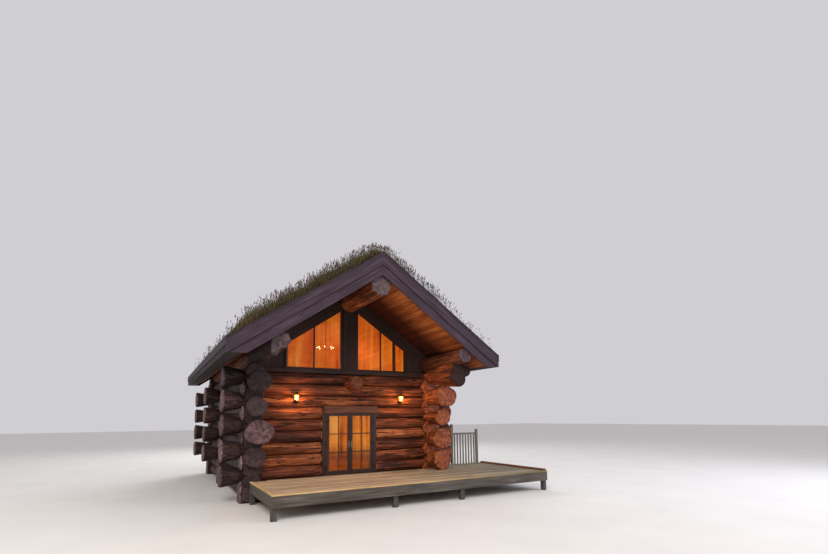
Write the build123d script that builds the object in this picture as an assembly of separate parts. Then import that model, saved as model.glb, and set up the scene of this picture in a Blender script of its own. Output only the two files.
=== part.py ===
"""Scribed log cabin with a turf roof, a glazed front gable, double glass doors and a timber deck.

Millimetres. The origin is on the ground, under the middle of the doorway, in the centre
plane of the front wall. +X is to the right as one faces the door, +Y runs back along
the ridge and +Z is up.
"""

from build123d import *
import math
import os

os.makedirs("parts", exist_ok=True)

# Clearances
SCRIBE_GAP = 0.3
DOOR_GAP = 6.0
MEETING_GAP = 10.0

# Logs
COURSE = 395.0
LOG_WIDTH = 440.0
LOG_SIDES = 12
FRONT_SILL_AXIS = 60.0
COURSES = 11
FIRST_BUTT_COURSE = 2
PLAIN_END_REACH = 360.0
SIDE_BUTT_REACH = 960.0
BUTT_GROWTH = 1.64
FLARE_GAP = 20.0

# Front butts of the side walls from the lowest up: reach in front of the wall and growth over a log
FIRST_LEFT_BUTT_COURSE = 3
LEFT_BUTTS = ((600.0, 1.5), (1250.0, 1.9), (850.0, 1.5), (1150.0, 1.6))
FIRST_RIGHT_BUTT_COURSE = 2
RIGHT_BUTTS = ((1150.0, 1.64), (1200.0, 1.7), (1230.0, 1.35), (1480.0, 1.8), (2350.0, 1.85))

# Plan of the walls, along their centre planes
EAVE_OVERHANG = 1254.0
REAR_BAY = 4040.0
STUB_INNER = 320.0

# Doorway
DECK_TOP = 680.0
DOOR_HALF = 872.0
DOOR_HEIGHT = 2120.0
JAMB_WIDTH = 158.0
FIRST_DOOR_COURSE = 2
HEAD_LEAST_DEPTH = 150.0
FRAME_FRONT = 232.0
FRAME_BACK = 200.0
THRESHOLD_HEIGHT = 22.0

# Door leaves
LEAF_THICKNESS = 60.0
STILE = 84.0
TOP_RAIL = 80.0
BOTTOM_RAIL = 110.0
MUNTIN = 26.0
PANE_ROWS = 3
PANE_COLUMNS = 2
PANE_THICKNESS = 24.0
HINGE_RADIUS = 11.0
HINGE_PIN_RADIUS = 5.0
HINGE_LENGTH = 110.0
HINGE_WING = 3.0
HINGE_SHARES = (0.12, 0.5, 0.87)
HANDLE_HEIGHT = 1030.0
HANDLE_PLATE = (38.0, 10.0, 240.0)
LEVER_LENGTH = 120.0
LEVER_RADIUS = 10.0
LEVER_REACH = 55.0

# Roof
SOFFIT_RISE = 2875.0
PLANK_PLUMB = 36.0
CORE_PLUMB = 444.0
ROOF_HALF = 4594.0
ROOF_FRONT = -3000.0
ROOF_LENGTH = 13800.0
REAR_OVERHANG = 1400.0
BARGE_THICKNESS = 45.0
BARGE_STAND = 150.0
UPPER_BARGE_PLUMB = 410.0
LOWER_BARGE_PLUMB = 340.0
LOWER_BARGE_TUCK = 380.0
EAVE_SOFFIT_WIDTH = 347.0
EAVE_BOARD = 45.0
EAVE_BOARD_STAND = 40.0
EAVE_SOFFIT_BOARD = 25.0
TURF_CROWN_RISE = 180.0
TURF_RIDGE_HALF = 380.0
TURF_RIDGE_DROP = 90.0
TURF_EAVE_BEVEL = 260.0
TURF_VERGE_DROP = 130.0
TURF_VERGE_RUN = 340.0

# Ridge, plate and girder logs
RIDGE_DROP = 420.0
RIDGE_END_WIDTH = 690.0
RIDGE_WIDTH = 660.0
LOG_END_SETBACK = 150.0
PLATE_INSET = 40.0
PLATE_WIDTH = 590.0
PLATE_END_INSET = 100.0
PLATE_END_WIDTH = 510.0
LOBE_OUT = 180.0
LOBE_WIDTH = 210.0
LOBE_DROP = 480.0
LOBE_RUN = 700.0
LOBE_FADE = 0.4
GIRDER_X = 50.0
GIRDER_AXIS = 3870.0
GIRDER_WIDTH = 490.0
GIRDER_REACH = 730.0

# Gable
GLASS_INNER = 349.0
GLASS_SIDE_MARGIN = 1088.0
GLASS_HEAD_DROP = 534.0
BOTTOM_RAIL_DEPTH = 70.0
GLASS_THICKNESS = 24.0
POST_HALF = 250.0
POST_DEPTH = 300.0
SILL_HEIGHT = 137.0
SILL_DEPTH = 400.0
TOP_RAIL_PLUMB = 90.0
OUTER_STILE = 78.0
WINDOW_MULLION = 50.0
POST_MULLION = 110.0
LEFT_MULLION_INSET = 931.0
RIGHT_MULLION_INSET = 982.0
RIGHT_POST_INSET = 417.0
WINDOW_DEPTH = 80.0
WINDOW_FACE = -110.0
HEADER_DEPTH = 240.0
INFILL_DEPTH = 120.0

# Floor
FLOOR_THICKNESS = 60.0
JOIST_WIDTH = 80.0
JOIST_DEPTH = 240.0
JOIST_SPACING = 800.0

# Deck
DECK_LEFT_STAND = 100.0
DECK_RIGHT_WING = 2905.0
DECK_FRONT = -3507.0
DECK_SIDE_BACK = 440.0
DECK_BOARD = 36.0
FASCIA_DEPTH = 300.0
FASCIA_THICKNESS = 45.0
DECK_JOIST_SPACING = 1210.0
DECK_POST = 140.0
DECK_NOTCH = 60.0
KERB_HEIGHT = 70.0
KERB_WIDTH = 95.0

# Balustrade
RAIL_LENGTH = 1375.0
RAIL_INSET = 125.0
RAIL_HEIGHT = 1290.0
RAIL_POST_HEIGHTS = (1650.0, 1430.0)
RAIL_POST = 90.0
RAIL_DEPTH = 60.0
RAIL_THICKNESS = 70.0
PICKET_WIDTH = 60.0
PICKET_SPACING = 150.0

# Wall lanterns
LANTERN_X = 1990.0
LANTERN_PLATE = (110.0, 18.0, 104.0)
LANTERN_ARM_REACH = 110.0
LANTERN_ARM = 22.0
LANTERN_BASE_WIDTH = 90.0
LANTERN_TOP_WIDTH = 150.0
LANTERN_BODY_HEIGHT = 190.0
LANTERN_CAP_HEIGHT = 80.0

# Chandelier
CHANDELIER_Y = 2600.0
CHANDELIER_DROP = 1740.0
CHANDELIER_RADIUS = 390.0
CHANDELIER_BAR = 16.0
CHANDELIER_HUB_RADIUS = 45.0
CHANDELIER_HUB_HEIGHT = 220.0
CANDLE_RADIUS = 14.0
CANDLE_HEIGHT = 110.0
CANDLE_COUNT = 8
CANDLE_SIDES = 8
SMALL_ROUND_SIDES = 12
ROD_RADIUS = 9.0

# Values that follow from the sizes above
SIDE_WALL_X = ROOF_HALF - EAVE_OVERHANG
SIDE_SILL_AXIS = FRONT_SILL_AXIS + COURSE / 2
LOG_HEIGHT = COURSE - SCRIBE_GAP
LOG_FACE = LOG_WIDTH / 2
BUTT_HALF = BUTT_GROWTH * LOG_FACE
FRONT_WALL_TOP = FRONT_SILL_AXIS + (COURSES - 0.5) * COURSE
SIDE_WALL_TOP = SIDE_SILL_AXIS + (COURSES - 0.5) * COURSE
ROOF_REAR = ROOF_FRONT + ROOF_LENGTH
REAR_WALL_Y = ROOF_REAR - REAR_OVERHANG
STUB_WALL_Y = REAR_WALL_Y - REAR_BAY
EAVE_UNDERSIDE = SIDE_WALL_TOP
SOFFIT_APEX = EAVE_UNDERSIDE + SOFFIT_RISE
SOFFIT_TURN = ROOF_HALF - EAVE_SOFFIT_WIDTH
ROOF_SLOPE = SOFFIT_RISE / SOFFIT_TURN
WALL_INNER_X = SIDE_WALL_X - LOG_FACE
OPENING_HALF = DOOR_HALF + JAMB_WIDTH
DOOR_HEAD_UNDERSIDE = DECK_TOP + DOOR_HEIGHT
HEAD_COURSES = (DOOR_HEAD_UNDERSIDE + HEAD_LEAST_DEPTH - FRONT_SILL_AXIS) / COURSE
LAST_DOOR_COURSE = math.ceil(HEAD_COURSES - 0.5)
LAYER_FRONT = ROOF_FRONT + 2 * BARGE_THICKNESS + SCRIBE_GAP
LAYER_REAR = ROOF_REAR - 2 * BARGE_THICKNESS - SCRIBE_GAP
CORE_APEX = SOFFIT_APEX + PLANK_PLUMB + CORE_PLUMB
BARGE_APEX = CORE_APEX + BARGE_STAND
RIDGE_AXIS = SOFFIT_APEX - RIDGE_DROP
GLASS_OUTER = SIDE_WALL_X - GLASS_SIDE_MARGIN
GLASS_TOP_APEX = SOFFIT_APEX - GLASS_HEAD_DROP
SILL_TOP = FRONT_WALL_TOP + SILL_HEIGHT
GLASS_BOTTOM = SILL_TOP + BOTTOM_RAIL_DEPTH
EAVE_INNER = ROOF_HALF - EAVE_BOARD
DECK_LEFT = -SIDE_WALL_X - DECK_LEFT_STAND
DECK_RIGHT = SIDE_WALL_X + DECK_RIGHT_WING
RAIL_RIGHT = DECK_RIGHT - RAIL_INSET
RAIL_LEFT = RAIL_RIGHT - RAIL_LENGTH
SIDES = (("left", -1), ("right", 1))


def front_axis(course):
    """Height of the axis of a log in the front, rear and stub walls."""
    return FRONT_SILL_AXIS + course * COURSE


def side_axis(course):
    """Height of the axis of a log in the two long walls, half a course higher."""
    return SIDE_SILL_AXIS + course * COURSE


def roof_line(apex, x):
    """Height of a plane that is parallel to the roof, at a distance x from the ridge."""
    return apex - ROOF_SLOPE * abs(x)


def log_outline(width, height, drop=None):
    """Cut face of a log, as points across and up from its axis, with flats on top and underneath.

    With a drop the lower half is sawn straight down to that distance below the axis.
    """
    half_step = math.pi / LOG_SIDES
    stretch = 0.5 / math.cos(half_step)
    points = []
    for i in range(LOG_SIDES):
        angle = half_step * (2 * i + 1)
        points.append((width * stretch * math.cos(angle), height * stretch * math.sin(angle)))
    if drop is not None:
        points = [point for point in points if point[1] > 0]
        points.append((-width / 2, -drop))
        points.append((width / 2, -drop))
    return points


def flat_sided(rings):
    """Solid with flat sides through similar outlines, each a ring of as many points."""
    faces = [Face(Wire.make_polygon(rings[0])), Face(Wire.make_polygon(rings[-1]))]
    for near, far in zip(rings, rings[1:]):
        for i in range(len(near)):
            j = (i + 1) % len(near)
            faces.append(Face(Wire.make_polygon([near[i], near[j], far[j], far[i]])))
    return Solid(Shell(faces))


def log_through(along, stations):
    """Log through cut faces given as (x, y, z, width, height), perhaps with a drop added."""
    rings = []
    for x, y, z, *section in stations:
        if along == "x":
            rings.append([(x, y + side, z + up) for side, up in log_outline(*section)])
        else:
            rings.append([(x + side, y, z + up) for side, up in log_outline(*section)])
    return flat_sided(rings)


def crossing_tool(along, x, y, course_axis, drop=None):
    """What the log above loses where it is saddled over the wall log that crosses it."""
    section = (LOG_WIDTH + 2 * SCRIBE_GAP, COURSE + SCRIBE_GAP, drop)
    ends = []
    for reach in (-LOG_WIDTH, LOG_WIDTH):
        place = (x + reach, y) if along == "x" else (x, y + reach)
        ends.append((*place, course_axis, *section))
    return log_through(along, ends)


def wall_log(along, fixed, axis, low_end, high_end, butt=None, drop=None):
    """Wall log along X or Y at the height of its axis.

    One end may be its butt, given as the end, its reach past the wall and its growth. It
    swells all the way from the plain ends of its neighbours.
    """
    body = (LOG_WIDTH, LOG_HEIGHT, drop)
    stops = [(low_end, body), (high_end, body)]
    if butt:
        end, reach, growth = butt
        swell = (growth * LOG_WIDTH, growth * LOG_HEIGHT)
        flare = reach - PLAIN_END_REACH - FLARE_GAP
        if end == "low":
            stops = [(low_end, swell), (low_end + flare, body), (high_end, body)]
        else:
            stops = [(low_end, body), (high_end - flare, body), (high_end, swell)]
    if along == "x":
        return log_through("x", [(at, fixed, axis, *sizes) for at, sizes in stops])
    return log_through("y", [(fixed, at, axis, *sizes) for at, sizes in stops])


def front_butt(side, course):
    """Reach and growth of a side wall's front butt, or None for a plain end."""
    if side > 0:
        first, butts = FIRST_RIGHT_BUTT_COURSE, RIGHT_BUTTS
    else:
        first, butts = FIRST_LEFT_BUTT_COURSE, LEFT_BUTTS
    step, other_end = divmod(course - first, 2)
    if step < 0 or other_end:
        return None
    return butts[step]


def export(shape, name):
    """Write one named piece, or several like pieces that don't touch."""
    solids = []
    for item in shape if isinstance(shape, list) else [shape]:
        solids.extend(item.solids())
    export_step(Compound(children=solids) if len(solids) > 1 else solids[0], f"parts/{name}.step")


def box(low, high):
    """Box between two corners."""
    size = [high[i] - low[i] for i in range(3)]
    centre = [(high[i] + low[i]) / 2 for i in range(3)]
    return Pos(*centre) * Box(*size)


def upright(points, low_y, high_y):
    """Solid whose outline is given in X and Z, between two planes across Y."""
    return flat_sided([[(x, y, z) for x, z in points] for y in (low_y, high_y)])


def rectangle(low_x, low_z, high_x, high_z):
    """Upright rectangular outline."""
    return [(low_x, low_z), (high_x, low_z), (high_x, high_z), (low_x, high_z)]


def mirrored(points, sign):
    """Outline on the left or on the right of the ridge."""
    return [(sign * x, z) for x, z in points]


def small_round(radius, height):
    """Small round bar standing on its base, with flat sides to save facets."""
    return extrude(RegularPolygon(radius, SMALL_ROUND_SIDES), height)


def cross_log(y, course, low_end, high_end, butt, saddles):
    """Log of the front, rear or stub walls, saddled over the side walls it crosses."""
    axis = front_axis(course)
    drop = axis if course == 0 else None
    log = wall_log("x", y, axis, low_end, high_end, butt, drop)
    for x in saddles if course else ():
        below = side_axis(course - 1)
        log -= crossing_tool("y", x, y, below, below if course == 1 else None)
    return log


def full_cross_log(y, course, left_butt):
    """Cross log from corner to corner, its butt outside one side wall."""
    flared = FIRST_BUTT_COURSE <= course < COURSES
    low_end = -SIDE_WALL_X - (SIDE_BUTT_REACH if flared and left_butt else PLAIN_END_REACH)
    high_end = SIDE_WALL_X + (SIDE_BUTT_REACH if flared and not left_butt else PLAIN_END_REACH)
    butt = ("low" if left_butt else "high", SIDE_BUTT_REACH, BUTT_GROWTH) if flared else None
    return cross_log(y, course, low_end, high_end, butt, (-SIDE_WALL_X, SIDE_WALL_X))


def girder(grow=0.0):
    """Round girder log that comes out through the front wall over the door."""
    width = GIRDER_WIDTH + 2 * grow
    ends = (-GIRDER_REACH, REAR_WALL_Y + GIRDER_REACH)
    return log_through("y", [(GIRDER_X, y, GIRDER_AXIS, width, width) for y in ends])


def ridge(grow=0.0):
    """Ridge log, a little larger at its front end, before it is dressed to the roof."""
    stops = (
        (ROOF_REAR - LOG_END_SETBACK, RIDGE_WIDTH),
        (0.0, RIDGE_WIDTH),
        (ROOF_FRONT + LOG_END_SETBACK, RIDGE_END_WIDTH),
    )
    stations = []
    for y, width in stops:
        stations.append((0, y, RIDGE_AXIS, width + 2 * grow, width + 2 * grow))
    return log_through("y", stations)


def plate(sign, grow=0.0):
    """Plate log on a side wall, tapering to its ends, before it is dressed to the roof."""
    body_x = SIDE_WALL_X - PLATE_INSET
    body_axis = SIDE_WALL_TOP + SCRIBE_GAP + PLATE_WIDTH / 2
    end_x = SIDE_WALL_X - PLATE_END_INSET
    end_axis = roof_line(SOFFIT_APEX, end_x) - PLATE_END_WIDTH / 2 * math.hypot(1, ROOF_SLOPE)
    stops = (
        (ROOF_REAR - LOG_END_SETBACK, end_x, end_axis, PLATE_END_WIDTH),
        (REAR_WALL_Y + LOG_FACE, body_x, body_axis, PLATE_WIDTH),
        (-LOG_FACE, body_x, body_axis, PLATE_WIDTH),
        (ROOF_FRONT + LOG_END_SETBACK, end_x, end_axis, PLATE_END_WIDTH),
    )
    sections = []
    for y, x, axis, width in stops:
        sections.append((sign * x, y, axis, width + 2 * grow, width + 2 * grow))
    return log_through("y", sections)


def plate_lobe():
    """Root lobe that hangs from the front end of the left plate log and fades into it."""
    half = LOBE_WIDTH / 2
    outline = [
        (LOBE_OUT - half, 0),
        (LOBE_OUT - half, half - LOBE_DROP),
        (LOBE_OUT - half / 2, -LOBE_DROP),
        (LOBE_OUT + half / 2, -LOBE_DROP),
        (LOBE_OUT + half, half - LOBE_DROP),
        (LOBE_OUT + half, 0),
    ]
    end_x = SIDE_WALL_X - PLATE_END_INSET
    axis = roof_line(SOFFIT_APEX, end_x) - PLATE_END_WIDTH / 2 * math.hypot(1, ROOF_SLOPE)
    rings = []
    for run, fade in ((0.0, 1.0), (LOBE_RUN, LOBE_FADE)):
        y = ROOF_FRONT + LOG_END_SETBACK + run
        rings.append([(-end_x - fade * out, y, axis + fade * up) for out, up in outline])
    return flat_sided(rings)


def under_roof():
    """Everything under the roof planks: what stands higher is dressed off."""
    apex = SOFFIT_APEX - SCRIBE_GAP
    edge = roof_line(apex, ROOF_HALF)
    points = [(-ROOF_HALF, 0), (ROOF_HALF, 0), (ROOF_HALF, edge), (0, apex), (-ROOF_HALF, edge)]
    return upright(points, ROOF_FRONT, ROOF_REAR)


# Front wall, divided at the doorway
front_low = []
front_high = []
front_parts = {-1: [], 1: []}
girder_tool = girder(SCRIBE_GAP)
opening_tool = box(
    (-OPENING_HALF - SCRIBE_GAP, -LOG_WIDTH, front_axis(FIRST_DOOR_COURSE) - COURSE / 2),
    (OPENING_HALF + SCRIBE_GAP, LOG_WIDTH, front_axis(LAST_DOOR_COURSE) + COURSE / 2),
)
for course in range(COURSES):
    log = full_cross_log(0.0, course, course % 2 == 0)
    if course < FIRST_DOOR_COURSE:
        front_low.append(log)
    elif course > LAST_DOOR_COURSE:
        if abs(front_axis(course) - GIRDER_AXIS) < (COURSE + GIRDER_WIDTH) / 2:
            log -= girder_tool
        front_high.append(log)
    else:
        log -= opening_tool
        for solid in log.solids():
            front_parts[-1 if solid.center().X < 0 else 1].append(solid)
export(front_low, "front_wall_lower")
export(front_parts[-1], "front_wall_left")
export(front_parts[1], "front_wall_right")
export(front_high, "front_wall_upper")

# Rear wall, its gable and the stub walls half way along
rear_logs = []
for course in range(COURSES + 1):
    log = full_cross_log(REAR_WALL_Y, course, course % 2 == 1)
    if abs(front_axis(course) - GIRDER_AXIS) < (COURSE + GIRDER_WIDTH) / 2:
        log -= girder_tool
    rear_logs.append(log)
export(rear_logs, "rear_wall")

roof_space = under_roof()
ridge_tool = ridge(SCRIBE_GAP)
plate_tools = [plate(sign, SCRIBE_GAP) for _, sign in SIDES]
gable_logs = []
last_gable_course = int((SOFFIT_APEX - FRONT_SILL_AXIS) / COURSE)
for course in range(COURSES + 1, last_gable_course + 1):
    axis = front_axis(course)
    log = wall_log("x", REAR_WALL_Y, axis, -SIDE_WALL_X, SIDE_WALL_X)
    log = log & roof_space
    if log.solids():
        gable_logs.append(log - ridge_tool - plate_tools[0] - plate_tools[1])
export(gable_logs, "rear_gable")

stub_logs = []
for name, sign in SIDES:
    for course in range(COURSES):
        flared = course >= FIRST_BUTT_COURSE and course % 2 == 1
        outside = SIDE_BUTT_REACH if flared else PLAIN_END_REACH
        ends = sorted((sign * (SIDE_WALL_X - STUB_INNER), sign * (SIDE_WALL_X + outside)))
        butt = ("high" if sign > 0 else "low", outside, BUTT_GROWTH) if flared else None
        stub_logs.append(cross_log(STUB_WALL_Y, course, *ends, butt, (sign * SIDE_WALL_X,)))
export(stub_logs, "stub_wall_logs")

# Side walls
for name, sign in SIDES:
    logs = []
    for course in range(COURSES):
        axis = side_axis(course)
        drop = axis if course == 0 else None
        in_front = front_butt(sign, course)
        butt, front_reach, rear_reach = None, PLAIN_END_REACH, PLAIN_END_REACH
        if in_front:
            front_reach = in_front[0]
            butt = ("low", *in_front)
        elif course >= FIRST_BUTT_COURSE:
            rear_reach = SIDE_BUTT_REACH
            butt = ("high", SIDE_BUTT_REACH, BUTT_GROWTH)
        ends = (-front_reach, REAR_WALL_Y + rear_reach)
        log = wall_log("y", sign * SIDE_WALL_X, axis, *ends, butt, drop)
        for y in (0.0, STUB_WALL_Y, REAR_WALL_Y):
            below = front_axis(course)
            log -= crossing_tool("x", sign * SIDE_WALL_X, y, below, below if course == 0 else None)
        if course == COURSES - 1:
            log -= plate(sign, SCRIBE_GAP)
        logs.append(log)
    export(logs, f"{name}_wall")

# Ridge, plates and girder
export(ridge() & roof_space, "ridge_log")
for name, sign in SIDES:
    rear_cross = front_axis(COURSES)
    log = plate(sign) + plate_lobe() if sign < 0 else plate(sign)
    log = (log & roof_space) - crossing_tool("x", sign * SIDE_WALL_X, REAR_WALL_Y, rear_cross)
    export(log, f"plate_log_{name}")
export(girder(), "girder_log")

# Gable over the front wall: sill, post, sloping headers and side panels
sill_bottom = FRONT_WALL_TOP + SCRIBE_GAP
sill_half = WALL_INNER_X - SCRIBE_GAP
export(box((-sill_half, -SILL_DEPTH / 2, sill_bottom), (sill_half, SILL_DEPTH / 2, SILL_TOP)), "gable_sill")

gable_base = SILL_TOP + SCRIBE_GAP
post_top = RIDGE_AXIS
post = box((-POST_HALF, -POST_DEPTH / 2, gable_base), (POST_HALF, POST_DEPTH / 2, post_top))
export(post - ridge_tool, "gable_post")

FRAME_APEX = GLASS_TOP_APEX + TOP_RAIL_PLUMB
FRAME_OUTER = GLASS_OUTER + OUTER_STILE
header_apex = FRAME_APEX + SCRIBE_GAP
headers = []
infills = []
for index, (name, sign) in enumerate(SIDES):
    inner = POST_HALF + SCRIBE_GAP
    outline = [
        (inner, roof_line(header_apex, inner)),
        (SIDE_WALL_X, roof_line(header_apex, SIDE_WALL_X)),
        (SIDE_WALL_X, roof_line(SOFFIT_APEX - SCRIBE_GAP, SIDE_WALL_X)),
        (inner, roof_line(SOFFIT_APEX - SCRIBE_GAP, inner)),
    ]
    header = upright(mirrored(outline, sign), -HEADER_DEPTH / 2, HEADER_DEPTH / 2)
    header = header - ridge_tool - plate_tools[index]
    headers.append(max(header.solids(), key=lambda solid: solid.volume))
    near = FRAME_OUTER + SCRIBE_GAP
    outline = [
        (near, gable_base),
        (sill_half, gable_base),
        (sill_half, roof_line(FRAME_APEX, sill_half)),
        (near, roof_line(FRAME_APEX, near)),
    ]
    infill = upright(mirrored(outline, sign), -INFILL_DEPTH / 2, INFILL_DEPTH / 2) - plate_tools[index]
    infills.append(max(infill.solids(), key=lambda solid: solid.volume))
export(headers, "gable_headers")
export(infills, "gable_side_panels")


def window_outline(inner, outer, bottom, apex):
    """Four-sided gable window outline under the slope, for the right-hand side."""
    outer_top = roof_line(apex, outer)
    inner_top = roof_line(apex, inner)
    return [(inner, bottom), (outer, bottom), (outer, outer_top), (inner, inner_top)]


# Gable windows: one frame each side of the post, with its panes
for name, sign in SIDES:
    frame_inner = POST_HALF + SCRIBE_GAP
    outer_outline = window_outline(frame_inner, FRAME_OUTER, gable_base, FRAME_APEX)
    window_back = WINDOW_FACE + WINDOW_DEPTH
    frame = upright(mirrored(outer_outline, sign), WINDOW_FACE, window_back)
    if sign < 0:
        bars = ((GLASS_OUTER - LEFT_MULLION_INSET, WINDOW_MULLION),)
    else:
        bars = (
            (GLASS_OUTER - RIGHT_MULLION_INSET, WINDOW_MULLION),
            (GLASS_OUTER - RIGHT_POST_INSET, POST_MULLION),
        )
    edges = [GLASS_INNER]
    for middle, width in bars:
        edges.extend((middle - width / 2, middle + width / 2))
    edges.append(GLASS_OUTER)
    panes = []
    for inner, outer in zip(edges[0::2], edges[1::2]):
        hole = window_outline(inner, outer, GLASS_BOTTOM, GLASS_TOP_APEX)
        frame -= upright(mirrored(hole, sign), WINDOW_FACE, window_back)
        bottom = GLASS_BOTTOM + SCRIBE_GAP
        pane = window_outline(inner + SCRIBE_GAP, outer - SCRIBE_GAP, bottom, GLASS_TOP_APEX - 2 * SCRIBE_GAP)
        pane_front = WINDOW_FACE + (WINDOW_DEPTH - GLASS_THICKNESS) / 2
        panes.append(upright(mirrored(pane, sign), pane_front, pane_front + GLASS_THICKNESS))
    export(frame - ridge_tool, f"gable_window_{name}")
    export(panes, f"gable_glass_{name}")

# Door frame: jambs, head and threshold
sill_course_top = front_axis(1) + COURSE / 2 + SCRIBE_GAP
threshold_top = DECK_TOP + THRESHOLD_HEIGHT
head_top = front_axis(LAST_DOOR_COURSE) + COURSE / 2 - SCRIBE_GAP
frame_pieces = [
    box((-OPENING_HALF, -FRAME_FRONT, sill_course_top), (OPENING_HALF, FRAME_BACK, threshold_top)),
    box((-OPENING_HALF, -FRAME_FRONT, DOOR_HEAD_UNDERSIDE), (OPENING_HALF, FRAME_BACK, head_top)),
]
hinge_axis_y = -FRAME_FRONT - HINGE_RADIUS
for name, sign in SIDES:
    near, far = sorted((sign * DOOR_HALF, sign * OPENING_HALF))
    jamb = box(
        (near, -FRAME_FRONT, threshold_top + SCRIBE_GAP), (far, FRAME_BACK, DOOR_HEAD_UNDERSIDE - SCRIBE_GAP)
    )
    frame_pieces.append(jamb)
export(frame_pieces, "door_frame")

# Door leaves: each hangs on hinge pins that stand in front of the jamb
leaf_bottom = threshold_top + DOOR_GAP
leaf_top = DOOR_HEAD_UNDERSIDE - DOOR_GAP
for name, sign in SIDES:
    hinge_side = DOOR_HALF - DOOR_GAP
    meeting = MEETING_GAP / 2
    outline = rectangle(meeting, leaf_bottom, hinge_side, leaf_top)
    leaf_back = -FRAME_FRONT + LEAF_THICKNESS
    leaf = upright(mirrored(outline, sign), -FRAME_FRONT, leaf_back)
    pane_width = (hinge_side - meeting - 2 * STILE - (PANE_COLUMNS - 1) * MUNTIN) / PANE_COLUMNS
    glass_low = leaf_bottom + BOTTOM_RAIL
    pane_height = (leaf_top - TOP_RAIL - glass_low - (PANE_ROWS - 1) * MUNTIN) / PANE_ROWS
    panes = []
    for column in range(PANE_COLUMNS):
        for row in range(PANE_ROWS):
            x = meeting + STILE + column * (pane_width + MUNTIN)
            z = glass_low + row * (pane_height + MUNTIN)
            hole = rectangle(x, z, x + pane_width, z + pane_height)
            leaf -= upright(mirrored(hole, sign), -FRAME_FRONT, leaf_back)
            pane = rectangle(
                x + SCRIBE_GAP, z + SCRIBE_GAP, x + pane_width - SCRIBE_GAP, z + pane_height - SCRIBE_GAP
            )
            pane_front = -FRAME_FRONT + (LEAF_THICKNESS - PANE_THICKNESS) / 2
            panes.append(upright(mirrored(pane, sign), pane_front, pane_front + PANE_THICKNESS))
    hinge_x = sign * (DOOR_HALF - DOOR_GAP / 2)
    pins = []
    for share in HINGE_SHARES:
        base = leaf_bottom + share * (leaf_top - leaf_bottom) - HINGE_LENGTH / 2
        knuckle = small_round(HINGE_RADIUS, HINGE_LENGTH / 2 - SCRIBE_GAP)
        bore = small_round(HINGE_PIN_RADIUS + SCRIBE_GAP, HINGE_LENGTH)
        # The upper knuckle belongs to the leaf, the lower one and the pin to the jamb.
        wing_low, wing_high = sorted((hinge_x, hinge_x - sign * (DOOR_GAP / 2 + STILE / 2)))
        wing = box(
            (wing_low, -FRAME_FRONT - HINGE_WING, base + HINGE_LENGTH / 2 + SCRIBE_GAP),
            (wing_high, -FRAME_FRONT, base + HINGE_LENGTH),
        )
        upper = Pos(hinge_x, hinge_axis_y, base + HINGE_LENGTH / 2 + SCRIBE_GAP) * knuckle
        leaf += (upper + wing) - Pos(hinge_x, hinge_axis_y, base + HINGE_LENGTH / 2) * bore
        wing_low, wing_high = sorted((hinge_x, hinge_x + sign * (DOOR_GAP / 2 + STILE / 2)))
        plate_wing = box(
            (wing_low, -FRAME_FRONT - HINGE_WING, base),
            (wing_high, -FRAME_FRONT - SCRIBE_GAP, base + HINGE_LENGTH / 2),
        )
        pin = small_round(HINGE_PIN_RADIUS, HINGE_LENGTH)
        lower = small_round(HINGE_RADIUS, HINGE_LENGTH / 2)
        pins.append(Pos(hinge_x, hinge_axis_y, base) * (pin + lower) + plate_wing)
    export(leaf, f"door_leaf_{name}")
    export(panes, f"door_glass_{name}")
    export(pins, f"door_hinges_{name}")
    width, depth, height = HANDLE_PLATE
    handle_x = sign * (meeting + STILE / 2)
    handle_z = DECK_TOP + HANDLE_HEIGHT
    plate_back = -FRAME_FRONT - SCRIBE_GAP
    handle = box(
        (handle_x - width / 2, plate_back - depth, handle_z - height / 2),
        (handle_x + width / 2, plate_back, handle_z + height / 2),
    )
    neck = Rot(90, 0, 0) * small_round(LEVER_RADIUS, LEVER_REACH)
    handle += Pos(handle_x, plate_back - depth, handle_z) * neck
    lever_y = plate_back - depth - LEVER_REACH + LEVER_RADIUS
    lever_low, lever_high = sorted((handle_x, handle_x + sign * LEVER_LENGTH))
    handle += box(
        (lever_low, lever_y - LEVER_RADIUS, handle_z - LEVER_RADIUS),
        (lever_high, lever_y + LEVER_RADIUS, handle_z + LEVER_RADIUS),
    )
    export(handle, f"door_handle_{name}")

# Floor on joists between the long walls
floor_half = WALL_INNER_X - SCRIBE_GAP
floor_front = LOG_FACE + SCRIBE_GAP
floor_back = REAR_WALL_Y - LOG_FACE - SCRIBE_GAP
floor = box((-floor_half, floor_front, DECK_TOP - FLOOR_THICKNESS), (floor_half, floor_back, DECK_TOP))
joist_count = int((floor_back - floor_front) // JOIST_SPACING)
for index in range(joist_count + 1):
    y = floor_front + JOIST_WIDTH + index * (floor_back - floor_front - 2 * JOIST_WIDTH) / joist_count
    if abs(y - STUB_WALL_Y) > LOG_FACE + JOIST_WIDTH:
        reach = floor_half - LOG_FACE / 2
        low = DECK_TOP - FLOOR_THICKNESS - JOIST_DEPTH
        high = DECK_TOP - FLOOR_THICKNESS
        floor += box((-reach, y - JOIST_WIDTH / 2, low), (reach, y + JOIST_WIDTH / 2, high))
for _, sign in SIDES:
    low, high = sorted((sign * (SIDE_WALL_X - STUB_INNER - SCRIBE_GAP), sign * SIDE_WALL_X))
    stub_half = LOG_FACE + SCRIBE_GAP
    floor -= box((low, STUB_WALL_Y - stub_half, 0), (high, STUB_WALL_Y + stub_half, DECK_TOP))
export(floor, "floor")


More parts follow.
